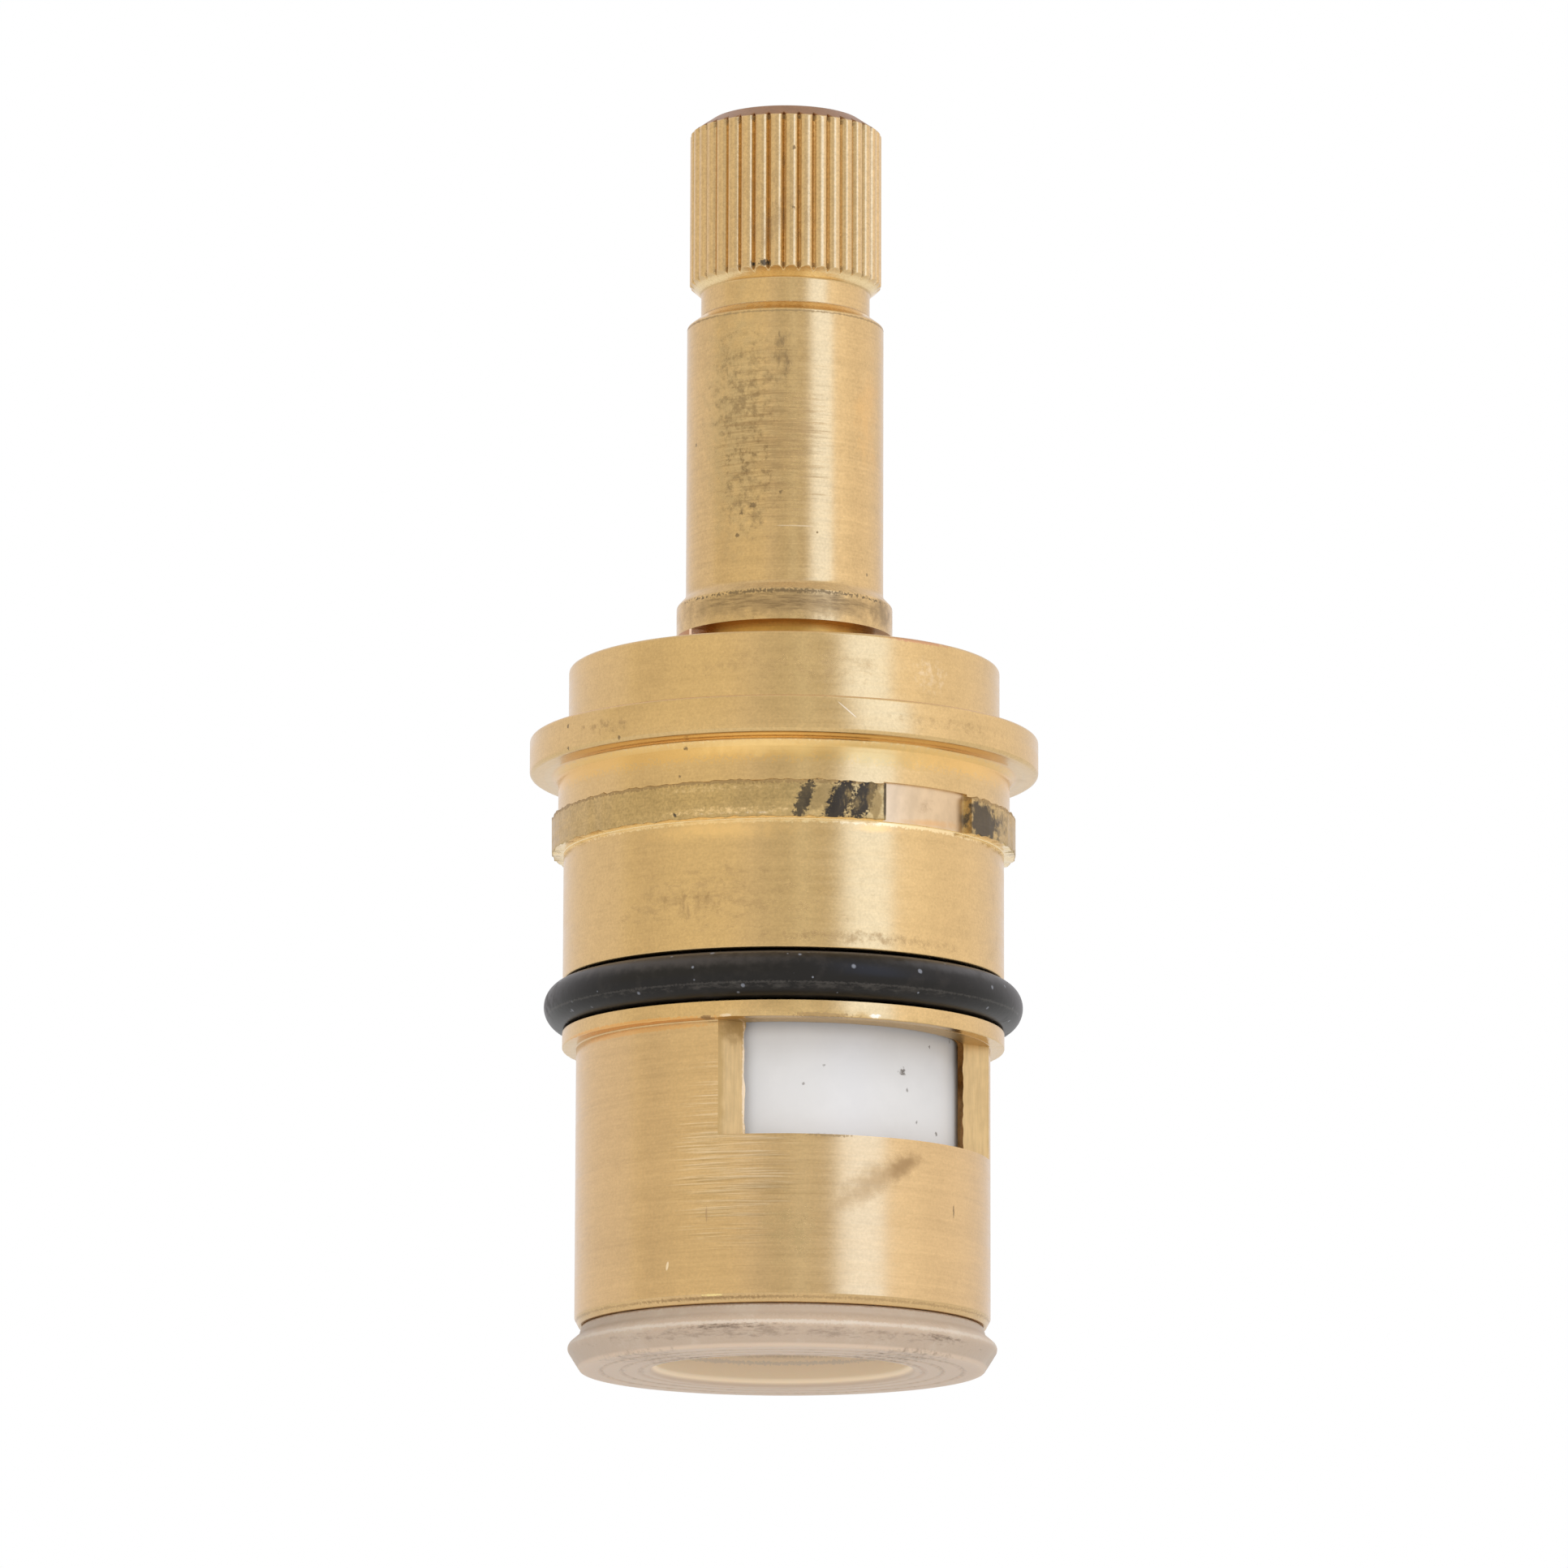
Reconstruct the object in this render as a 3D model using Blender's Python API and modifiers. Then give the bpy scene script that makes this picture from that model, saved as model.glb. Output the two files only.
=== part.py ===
"""Quarter-turn ceramic cartridge (faucet stem) of a washbasin tap.

The cartridge stands on its seat seal, with the stem pointing up. Water enters
through the bore of the seal, passes the two ports of the fixed ceramic disc and
leaves through the two side windows of the body once the rotating disc is
turned. The stem is shown closed: a quarter turn anticlockwise opens it.

Lengths are in metres. The origin is the centre of the seal's lower face, and
the windows face -Y and +Y.
"""

import math

import bmesh
import bpy
from mathutils import Matrix, Vector

MM = 0.001

# Clearances between neighbouring pieces
FACE_GAP = 0.10 * MM          # between flat faces that bear on each other
RUNNING_GAP = 0.10 * MM       # radial, round everything that turns
LOOSE_GAP = 0.30 * MM         # where pieces pass each other freely
FIXED_DISC_GAP = 0.15 * MM    # radial, round the ceramic disc that stays still
MOVING_DISC_GAP = 0.41 * MM   # radial, round the ceramic disc that turns
RING_GAP = 0.07 * MM          # between a sealing ring and its groove

# Seat seal, a moulded lip ring with a sleeve that plugs into the body
SEAL_BORE_RADIUS = 5.28 * MM
SEAL_BORE_CHAMFER = 0.30 * MM
SEAL_FOOT_RADIUS = 8.35 * MM
SEAL_RIM_RADIUS = 9.02 * MM
SEAL_RIM_LEVEL = 0.98 * MM
SEAL_RIM_ROUNDING = 0.16 * MM
SEAL_NECK_RADIUS = 8.50 * MM
SEAL_LIP_HEIGHT = 1.74 * MM
SEAL_SLEEVE_LENGTH = 2.86 * MM
SEAL_SLEEVE_WALL = 0.90 * MM
SEAL_FLOOR_HEIGHT = 2.00 * MM

# Stiffening ring inside the seal
SUPPORT_RING_WALL = 0.95 * MM

# Skirt of the body, which holds the discs
SKIRT_LENGTH = 11.71 * MM
SKIRT_FOOT_CHAMFER = 0.18 * MM
SKIRT_FOOT_CHAMFER_HEIGHT = 0.34 * MM
SKIRT_WALL = 0.93 * MM
SKIRT_BORE_STEP = 0.80 * MM   # radial, at the ledge between the two bores
WINDOW_FLAT_DISTANCE = 5.60 * MM
WINDOW_SILL_RISE = 0.27 * MM
KEYWAY_DEPTH = 0.45 * MM
KEYWAY_WIDTH = 3.20 * MM

# Land and groove of the body's sealing ring
LAND_RADIUS = 9.27 * MM
LAND_HEIGHT = 0.69 * MM
BODY_RING_CORD = 2.00 * MM
RING_GROOVE_WALL = 1.05 * MM

# Upper body
BARREL_RADIUS = 9.26 * MM
BARREL_LENGTH = 5.42 * MM
KEY_RING_RADIUS = 9.75 * MM
KEY_RING_HEIGHT = 1.53 * MM
KEY_NOTCH_DEPTH = 0.40 * MM
KEY_NOTCH_START = math.radians(-6.3)
KEY_NOTCH_END = math.radians(21.2)
WAIST_RADIUS = 9.50 * MM
WAIST_HEIGHT = 1.80 * MM
FLANGE_RADIUS = 10.71 * MM
FLANGE_THICKNESS = 1.57 * MM
FLANGE_CHAMFER = 0.15 * MM
FLANGE_ROOT = 0.35 * MM       # left by the tool's nose, and just clear of the key ring
CROWN_RADIUS = 9.08 * MM
CROWN_HEIGHT = 3.01 * MM
CROWN_CHAMFER = 0.15 * MM

# Ceramic discs
FIXED_DISC_THICKNESS = 3.80 * MM
EAR_WIDTH = 3.00 * MM
PORT_INNER_RADIUS = 2.90 * MM
PORT_OUTER_RADIUS = 5.50 * MM
PORT_HALF_ANGLE = math.radians(33.0)
ROTATING_DISC_THICKNESS = 5.20 * MM
DISC_NOTCH_INNER_RADIUS = 2.90 * MM
DISC_NOTCH_HALF_ANGLE = math.radians(38.0)
DISC_EDGE_CHAMFER = 0.12 * MM

# Drive coupling, between the stem's two flats and the slot of the disc
COUPLING_THICKNESS = 2.35 * MM
COUPLING_FLOOR = 0.60 * MM
TANG_WIDTH = 3.00 * MM
TANG_LENGTH = 10.00 * MM
TANG_DEPTH = 1.50 * MM

# Retaining clip and thrust washer
CLIP_THICKNESS = 0.50 * MM
CLIP_WIDTH = 1.60 * MM
CLIP_SEAT_RADIUS = 3.45 * MM
CLIP_OPENING = math.radians(80.0)
WASHER_WIDTH = 2.60 * MM
WASHER_THICKNESS = 0.40 * MM

# Stem inside the body
JOURNAL_RADIUS = 4.15 * MM
FLATS_HALF_WIDTH = 2.90 * MM
STEM_END_CHAMFER = 0.20 * MM
RELIEF_CHAMFER_HEIGHT = 0.15 * MM
STEM_RING_CORD = 1.00 * MM
STEM_RING_SQUEEZE_GAP = 0.03 * MM
UPPER_RING_DEPTH = 4.70 * MM
LOWER_RING_DEPTH = 8.20 * MM

# Stop collar, its tab and the pocket in the crown
COLLAR_CLEARANCE = 1.39 * MM
TAB_BITE = 0.31 * MM          # how far collar and tab stand out past the stem's bore
COLLAR_HEIGHT = 1.29 * MM
COLLAR_CHAMFER_HEIGHT = 0.42 * MM
CORE_STEP = 0.35 * MM         # radial, from the journal in to the core under the collar
RELIEF_STEP = 0.10 * MM       # radial, from the core in to the relief under the tab
TAB_RELIEF_DROP = 0.08 * MM   # how far the relief cut runs below the tab
POCKET_DEPTH = 1.30 * MM
TURN_RANGE = math.radians(90.0)
STOP_PLAY = math.radians(0.75)

# Stem above the collar
SHAFT_RADIUS = 4.17 * MM
SHAFT_LENGTH = 11.68 * MM
SHAFT_CHAMFER_HEIGHT = 0.45 * MM
NECK_RADIUS = 3.58 * MM
NECK_LENGTH = 1.03 * MM
SPLINE_RADIUS = 4.07 * MM
SPLINE_LENGTH = 6.53 * MM
SPLINE_FOOT_CHAMFER_HEIGHT = 0.43 * MM
SPLINE_TOP_RADIUS = 3.20 * MM
SPLINE_TOP_CHAMFER_HEIGHT = 0.60 * MM
SPLINE_TEETH = 38
TOOTH_DEPTH = 0.27 * MM
TOOTH_CREST_SHARE = 0.30
TOOTH_ROOT_SHARE = 0.16
NECK_GROOVE_OVERLAP = 0.25 * MM    # how far the tooth cutter runs down over the neck

# Facets round each kind of piece
BODY_STEPS = 64
STEM_STEPS = 2 * SPLINE_TEETH
DISC_STEPS = 56
SMALL_STEPS = 36
CORD_STEPS = 12
SMALL_CORD_STEPS = 8
ARC_STEPS = 12

# How far a cutter runs past the piece it cuts
OVERCUT = 1.00 * MM

# Points closer together than this become one
MERGE_DISTANCE = 0.001 * MM

# Levels above the seat, from the bottom up
SEAL_TOP = SEAL_LIP_HEIGHT + SEAL_SLEEVE_LENGTH
BODY_FOOT = SEAL_LIP_HEIGHT + FACE_GAP
FIXED_DISC_FOOT = SEAL_TOP + FACE_GAP
FIXED_DISC_TOP = FIXED_DISC_FOOT + FIXED_DISC_THICKNESS
ROTATING_DISC_FOOT = FIXED_DISC_TOP + FACE_GAP
ROTATING_DISC_TOP = ROTATING_DISC_FOOT + ROTATING_DISC_THICKNESS
LOWER_BORE_TOP = ROTATING_DISC_TOP + LOOSE_GAP / 2.0
COUPLING_FOOT = ROTATING_DISC_TOP + FACE_GAP
COUPLING_TOP = COUPLING_FOOT + COUPLING_THICKNESS
CLIP_FOOT = COUPLING_TOP + 2.0 * FACE_GAP
CLIP_TOP = CLIP_FOOT + CLIP_THICKNESS
WASHER_FOOT = CLIP_TOP + 2.0 * FACE_GAP
SHOULDER_LEVEL = WASHER_FOOT + WASHER_THICKNESS + FACE_GAP
WINDOW_SILL = FIXED_DISC_TOP + WINDOW_SILL_RISE

SKIRT_TOP = BODY_FOOT + SKIRT_LENGTH
WINDOW_CEILING = SKIRT_TOP     # level with the ledge under the land
RING_GROOVE_FOOT = SKIRT_TOP + LAND_HEIGHT
RING_GROOVE_TOP = RING_GROOVE_FOOT + BODY_RING_CORD + 2.0 * RING_GAP
BARREL_TOP = RING_GROOVE_TOP + BARREL_LENGTH
KEY_RING_TOP = BARREL_TOP + KEY_RING_HEIGHT
FLANGE_FOOT = KEY_RING_TOP + WAIST_HEIGHT
FLANGE_TOP = FLANGE_FOOT + FLANGE_THICKNESS
CROWN_TOP = FLANGE_TOP + CROWN_HEIGHT
POCKET_FLOOR = CROWN_TOP - POCKET_DEPTH

COLLAR_FOOT = CROWN_TOP + COLLAR_CLEARANCE
COLLAR_EDGE = COLLAR_FOOT + COLLAR_HEIGHT
COLLAR_TOP = COLLAR_EDGE + COLLAR_CHAMFER_HEIGHT
SHAFT_TOP = COLLAR_TOP + SHAFT_LENGTH
NECK_FOOT = SHAFT_TOP + SHAFT_CHAMFER_HEIGHT
NECK_TOP = NECK_FOOT + NECK_LENGTH
SPLINE_FOOT = NECK_TOP + SPLINE_FOOT_CHAMFER_HEIGHT
SPLINE_EDGE = SPLINE_FOOT + SPLINE_LENGTH
STEM_TOP = SPLINE_EDGE + SPLINE_TOP_CHAMFER_HEIGHT
TAB_FOOT = POCKET_FLOOR + LOOSE_GAP / 2.0
STEM_END = COUPLING_FOOT + COUPLING_FLOOR + FACE_GAP

# Radii that follow from their neighbours, from the stem outwards
STEM_BORE_RADIUS = JOURNAL_RADIUS + RUNNING_GAP
COLLAR_RADIUS = STEM_BORE_RADIUS + TAB_BITE
COLLAR_CORE_RADIUS = JOURNAL_RADIUS - CORE_STEP
RELIEF_RADIUS = COLLAR_CORE_RADIUS - RELIEF_STEP
POCKET_RADIUS = COLLAR_RADIUS + RUNNING_GAP
WASHER_RADIUS = STEM_BORE_RADIUS + WASHER_WIDTH
COUPLING_RADIUS = WASHER_RADIUS
COUPLING_BORE_RADIUS = COUPLING_RADIUS + RUNNING_GAP
RING_GROOVE_RADIUS = COUPLING_BORE_RADIUS + RING_GROOVE_WALL
BODY_RING_CENTRE_RADIUS = RING_GROOVE_RADIUS + RING_GAP + BODY_RING_CORD / 2.0
SKIRT_BORE_RADIUS = COUPLING_BORE_RADIUS + SKIRT_BORE_STEP
SKIRT_RADIUS = SKIRT_BORE_RADIUS + SKIRT_WALL
FIXED_DISC_RADIUS = SKIRT_BORE_RADIUS - FIXED_DISC_GAP
ROTATING_DISC_RADIUS = SKIRT_BORE_RADIUS - MOVING_DISC_GAP
SEAL_SLEEVE_RADIUS = SKIRT_BORE_RADIUS - RUNNING_GAP
SEAL_POCKET_RADIUS = SEAL_SLEEVE_RADIUS - SEAL_SLEEVE_WALL
CLIP_INNER_RADIUS = CLIP_SEAT_RADIUS + RUNNING_GAP
STEM_RING_CENTRE_RADIUS = JOURNAL_RADIUS - STEM_RING_CORD / 2.0 - STEM_RING_SQUEEZE_GAP
STEM_GROOVE_RADIUS = STEM_RING_CENTRE_RADIUS - STEM_RING_CORD / 2.0 - RING_GAP
STEM_GROOVE_HALF_WIDTH = STEM_RING_CORD / 2.0 + 2.0 * RING_GAP
UPPER_RING_LEVEL = CROWN_TOP - UPPER_RING_DEPTH
LOWER_RING_LEVEL = CROWN_TOP - LOWER_RING_DEPTH

# The photographed side of the windows is -Y; angles below count from there
FRONT = -math.pi / 2.0
BACK = FRONT + math.pi


def clear_scene():
    """Remove every object that the file came with."""
    for item in list(bpy.data.objects):
        bpy.data.objects.remove(item, do_unlink=True)


def new_collection(name):
    """Add a collection to the scene."""
    collection = bpy.data.collections.new(name)
    bpy.context.scene.collection.children.link(collection)
    return collection


def new_material(name, colour, roughness, metallic):
    """Make a plain Principled material."""
    material = bpy.data.materials.new(name)
    material.use_nodes = True
    shader = material.node_tree.nodes["Principled BSDF"]
    shader.inputs["Base Color"].default_value = (*colour, 1.0)
    shader.inputs["Roughness"].default_value = roughness
    shader.inputs["Metallic"].default_value = metallic
    return material


class Workshop:
    """Makes pieces in one collection and cutters in another."""

    def __init__(self):
        self.parts = new_collection("faucet_stem")
        self.cutters = new_collection("cutters")
        self.stem_axis = bpy.data.objects.new("stem_axis", None)
        self.stem_axis.location = (0.0, 0.0, CROWN_TOP)
        self.parts.objects.link(self.stem_axis)

    def add(self, name, mesh, material=None):
        """Link a mesh as a piece, or as a cutter when it has no material."""
        item = bpy.data.objects.new(name, mesh)
        if material is None:
            self.cutters.objects.link(item)
            item.hide_render = True
            item.display_type = "WIRE"
        else:
            self.parts.objects.link(item)
            mesh.materials.append(material)
        return item

    def turn(self, name, profile, steps, material=None, closed=True):
        """Turn a profile of (radius, level) points about the Z axis.

        The points run down the outer side first, so the faces point out.
        """
        mesh = bpy.data.meshes.new(name)
        points = [(radius, 0.0, level) for radius, level in profile]
        edges = [(i, i + 1) for i in range(len(points) - 1)]
        if closed:
            edges.append((len(points) - 1, 0))
        mesh.from_pydata(points, edges, [])
        item = self.add(name, mesh, material)
        screw = item.modifiers.new("turned", "SCREW")
        screw.axis = "Z"
        screw.angle = 2.0 * math.pi
        screw.steps = steps
        screw.render_steps = steps
        screw.use_merge_vertices = True
        screw.merge_threshold = MERGE_DISTANCE
        screw.use_smooth_shade = True
        return item

    def prism(self, name, outline, foot, top, material=None):
        """Raise a flat outline of (x, y) points between two levels."""
        curve = bpy.data.curves.new(name, "CURVE")
        curve.dimensions = "2D"
        curve.fill_mode = "BOTH"
        curve.extrude = (top - foot) / 2.0
        spline = curve.splines.new("POLY")
        spline.points.add(len(outline) - 1)
        for point, (x, y) in zip(spline.points, outline):
            point.co = (x, y, 0.0, 1.0)
        spline.use_cyclic_u = True
        guide = bpy.data.objects.new(name + "_outline", curve)
        guide.location = (0.0, 0.0, (foot + top) / 2.0)
        self.parts.objects.link(guide)
        depsgraph = bpy.context.evaluated_depsgraph_get()
        mesh = bpy.data.meshes.new_from_object(guide.evaluated_get(depsgraph))
        mesh.name = name
        mesh.transform(Matrix.Translation(guide.location))
        bpy.data.objects.remove(guide)
        solid = bmesh.new()
        solid.from_mesh(mesh)
        bmesh.ops.remove_doubles(solid, verts=solid.verts, dist=MERGE_DISTANCE)
        bmesh.ops.recalc_face_normals(solid, faces=solid.faces)
        solid.to_mesh(mesh)
        solid.free()
        mesh.materials.clear()
        return self.add(name, mesh, material)

    def block(self, name, low, high):
        """Make a box cutter between two opposite corners."""
        low = Vector(low)
        high = Vector(high)
        solid = bmesh.new()
        size = Matrix.Diagonal((*(high - low), 1.0))
        place = Matrix.Translation((low + high) / 2.0)
        bmesh.ops.create_cube(solid, size=1.0, matrix=place @ size)
        mesh = bpy.data.meshes.new(name)
        solid.to_mesh(mesh)
        solid.free()
        return self.add(name, mesh)

    def turn_with_stem(self, item):
        """Hang a moving piece on the axis that the stem turns about."""
        item.parent = self.stem_axis
        item.matrix_parent_inverse = Matrix.Translation(-self.stem_axis.location)

    def torus(self, name, radius, cord, level, steps, cord_steps, material):
        """Make a sealing ring as a turned circle."""
        profile = []
        for i in range(cord_steps):
            angle = math.pi / 2.0 - 2.0 * math.pi * i / cord_steps
            profile.append((radius + cord / 2.0 * math.cos(angle),
                            level + cord / 2.0 * math.sin(angle)))
        return self.turn(name, profile, steps, material)


def combine(item, tool, operation):
    """Cut, join or trim a piece with another object."""
    boolean = item.modifiers.new(tool.name, "BOOLEAN")
    boolean.operation = operation
    boolean.solver = "EXACT"
    boolean.object = tool


def arc(radius, start, end, steps):
    """Points along an arc about the origin."""
    return [(radius * math.cos(start + (end - start) * i / steps),
             radius * math.sin(start + (end - start) * i / steps))
            for i in range(steps + 1)]


def sector(inner, outer, start, end, steps=ARC_STEPS):
    """Outline of a ring sector, or of a pie slice when inner is zero."""
    outline = arc(outer, start, end, steps)
    if inner > 0.0:
        return outline + arc(inner, end, start, steps)
    return outline + [(0.0, 0.0)]


def body_profile():
    """Outer side of the body from the crown down, then its bore upwards."""
    return [
        (CROWN_RADIUS - CROWN_CHAMFER, CROWN_TOP),
        (CROWN_RADIUS, CROWN_TOP - CROWN_CHAMFER),
        (CROWN_RADIUS, FLANGE_TOP),
        (FLANGE_RADIUS - FLANGE_CHAMFER, FLANGE_TOP),
        (FLANGE_RADIUS, FLANGE_TOP - FLANGE_CHAMFER),
        (FLANGE_RADIUS, FLANGE_FOOT + FLANGE_CHAMFER),
        (FLANGE_RADIUS - FLANGE_CHAMFER, FLANGE_FOOT),
        (WAIST_RADIUS + FLANGE_ROOT, FLANGE_FOOT),
        (WAIST_RADIUS, FLANGE_FOOT - FLANGE_ROOT),
        (WAIST_RADIUS, KEY_RING_TOP),
        (KEY_RING_RADIUS, KEY_RING_TOP),
        (KEY_RING_RADIUS, BARREL_TOP),
        (BARREL_RADIUS, BARREL_TOP),
        (BARREL_RADIUS, RING_GROOVE_TOP),
        (RING_GROOVE_RADIUS, RING_GROOVE_TOP),
        (RING_GROOVE_RADIUS, RING_GROOVE_FOOT),
        (LAND_RADIUS, RING_GROOVE_FOOT),
        (LAND_RADIUS, SKIRT_TOP),
        (SKIRT_RADIUS, SKIRT_TOP),
        (SKIRT_RADIUS, BODY_FOOT + SKIRT_FOOT_CHAMFER_HEIGHT),
        (SKIRT_RADIUS - SKIRT_FOOT_CHAMFER, BODY_FOOT),
        (SKIRT_BORE_RADIUS, BODY_FOOT),
        (SKIRT_BORE_RADIUS, LOWER_BORE_TOP),
        (COUPLING_BORE_RADIUS, LOWER_BORE_TOP),
        (COUPLING_BORE_RADIUS, SHOULDER_LEVEL),
        (STEM_BORE_RADIUS, SHOULDER_LEVEL),
        (STEM_BORE_RADIUS, CROWN_TOP),
    ]


def make_body(shop, brass):
    """Turned body with windows, key notches, keyways and the stop pocket."""
    body = shop.turn("cartridge_body", body_profile(), BODY_STEPS, brass)
    reach = SKIRT_RADIUS + 2.0 * OVERCUT
    for side, name in ((-1.0, "front"), (1.0, "back")):
        near = side * WINDOW_FLAT_DISTANCE
        far = side * reach
        window = shop.block("window_" + name,
                            (-reach, min(near, far), WINDOW_SILL),
                            (reach, max(near, far), WINDOW_CEILING))
        combine(body, window, "DIFFERENCE")
    keyway_radius = SKIRT_BORE_RADIUS + KEYWAY_DEPTH
    keyway = shop.block("keyways",
                        (-keyway_radius, -KEYWAY_WIDTH / 2.0, BODY_FOOT - OVERCUT),
                        (keyway_radius, KEYWAY_WIDTH / 2.0, FIXED_DISC_TOP + FACE_GAP))
    combine(body, keyway, "DIFFERENCE")
    for middle, name in ((FRONT, "front"), (BACK, "back")):
        outline = sector(KEY_RING_RADIUS - KEY_NOTCH_DEPTH, KEY_RING_RADIUS + OVERCUT,
                         middle + KEY_NOTCH_START, middle + KEY_NOTCH_END)
        notch = shop.prism("key_notch_" + name, outline,
                           BARREL_TOP - RUNNING_GAP, KEY_RING_TOP + RUNNING_GAP)
        combine(body, notch, "DIFFERENCE")
    pocket = shop.prism("stop_pocket",
                        sector(0.0, POCKET_RADIUS, math.pi / 2.0 - STOP_PLAY,
                               math.pi / 2.0 + 2.0 * TURN_RANGE + STOP_PLAY,
                               2 * ARC_STEPS),
                        POCKET_FLOOR, CROWN_TOP + OVERCUT)
    combine(body, pocket, "DIFFERENCE")


def tooth_outline():
    """Section of the splined end: one crest and one root for each tooth."""
    pitch = 2.0 * math.pi / SPLINE_TEETH
    crest = pitch * TOOTH_CREST_SHARE / 2.0
    root = pitch * TOOTH_ROOT_SHARE / 2.0
    root_radius = SPLINE_RADIUS - TOOTH_DEPTH
    flank_end = SPLINE_RADIUS + TOOTH_DEPTH * TOOTH_CREST_SHARE
    outline = []
    for i in range(SPLINE_TEETH):
        middle = i * pitch
        corners = ((root_radius, middle - root), (root_radius, middle + root),
                   (flank_end, middle + pitch / 2.0 - crest),
                   (flank_end, middle + pitch / 2.0 + crest))
        outline += [(r * math.cos(a), r * math.sin(a)) for r, a in corners]
    return outline


def stem_groove(level):
    """Walls and floor of a sealing ring's groove in the journal."""
    return [
        (JOURNAL_RADIUS, level + STEM_GROOVE_HALF_WIDTH),
        (STEM_GROOVE_RADIUS, level + STEM_GROOVE_HALF_WIDTH),
        (STEM_GROOVE_RADIUS, level - STEM_GROOVE_HALF_WIDTH),
        (JOURNAL_RADIUS, level - STEM_GROOVE_HALF_WIDTH),
    ]


def stem_profile():
    """Stem from its top to its end, on the outer side."""
    journal_top = POCKET_FLOOR - FACE_GAP
    profile = [
        (0.0, STEM_TOP),
        (SPLINE_TOP_RADIUS, STEM_TOP),
        (SPLINE_RADIUS, SPLINE_EDGE),
        (SPLINE_RADIUS, SPLINE_FOOT),
        (NECK_RADIUS, NECK_TOP),
        (NECK_RADIUS, NECK_FOOT),
        (SHAFT_RADIUS, SHAFT_TOP),
        (SHAFT_RADIUS, COLLAR_TOP),
        (COLLAR_RADIUS, COLLAR_EDGE),
        (COLLAR_RADIUS, TAB_FOOT),
        (RELIEF_RADIUS, TAB_FOOT),
        (RELIEF_RADIUS, journal_top),
        (JOURNAL_RADIUS, journal_top - RELIEF_CHAMFER_HEIGHT),
    ]
    profile += stem_groove(UPPER_RING_LEVEL)
    profile += stem_groove(LOWER_RING_LEVEL)
    profile += [
        (JOURNAL_RADIUS, CLIP_TOP + FACE_GAP),
        (CLIP_SEAT_RADIUS, CLIP_TOP + FACE_GAP),
        (CLIP_SEAT_RADIUS, CLIP_FOOT - FACE_GAP),
        (JOURNAL_RADIUS, CLIP_FOOT - FACE_GAP),
        (JOURNAL_RADIUS, STEM_END + STEM_END_CHAMFER),
        (JOURNAL_RADIUS - STEM_END_CHAMFER, STEM_END),
        (0.0, STEM_END),
    ]
    return profile


def make_stem(shop, brass):
    """Stem with its splined end, stop tab and two driving flats."""
    stem = shop.turn("stem", stem_profile(), STEM_STEPS, brass, closed=False)
    groove_foot = NECK_TOP - NECK_GROOVE_OVERLAP
    teeth = shop.prism("spline_section", tooth_outline(),
                       groove_foot - NECK_GROOVE_OVERLAP, STEM_TOP + 2.0 * OVERCUT)
    ring_radius = SPLINE_RADIUS + OVERCUT
    rim = shop.turn("spline_grooves",
                    [(0.0, STEM_TOP + OVERCUT), (ring_radius, STEM_TOP + OVERCUT),
                     (ring_radius, groove_foot), (0.0, groove_foot)],
                    STEM_STEPS, closed=False)
    combine(rim, teeth, "DIFFERENCE")
    combine(stem, rim, "DIFFERENCE")

    tab_start = math.pi / 2.0 + STOP_PLAY
    tab_end = math.pi / 2.0 + TURN_RANGE - STOP_PLAY
    tab_relief = shop.prism(
        "stop_tab_relief",
        sector(COLLAR_CORE_RADIUS, COLLAR_RADIUS + OVERCUT,
               tab_end, tab_start + 2.0 * math.pi, 4 * ARC_STEPS),
        TAB_FOOT - TAB_RELIEF_DROP, COLLAR_FOOT)
    combine(stem, tab_relief, "DIFFERENCE")

    reach = JOURNAL_RADIUS + OVERCUT
    for side, name in ((-1.0, "left"), (1.0, "right")):
        near = side * FLATS_HALF_WIDTH
        far = side * reach
        flat = shop.block("driving_flat_" + name,
                          (min(near, far), -reach, STEM_END - OVERCUT),
                          (max(near, far), reach, COUPLING_TOP))
        combine(stem, flat, "DIFFERENCE")
    shop.turn_with_stem(stem)


def make_retaining_clip(shop, steel):
    """Open clip in the stem's groove, which bears on the washer."""
    half_opening = CLIP_OPENING / 2.0
    outline = sector(CLIP_INNER_RADIUS, CLIP_INNER_RADIUS + CLIP_WIDTH,
                     half_opening, 2.0 * math.pi - half_opening, 3 * ARC_STEPS)
    clip = shop.prism("retaining_clip", outline, CLIP_FOOT, CLIP_TOP, steel)
    shop.turn_with_stem(clip)


def make_thrust_washer(shop, acetal):
    """Slippery washer between the clip and the shoulder of the body."""
    top = WASHER_FOOT + WASHER_THICKNESS
    shop.turn("thrust_washer",
              [(WASHER_RADIUS, top), (WASHER_RADIUS, WASHER_FOOT),
               (STEM_BORE_RADIUS, WASHER_FOOT), (STEM_BORE_RADIUS, top)],
              SMALL_STEPS, acetal)


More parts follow.
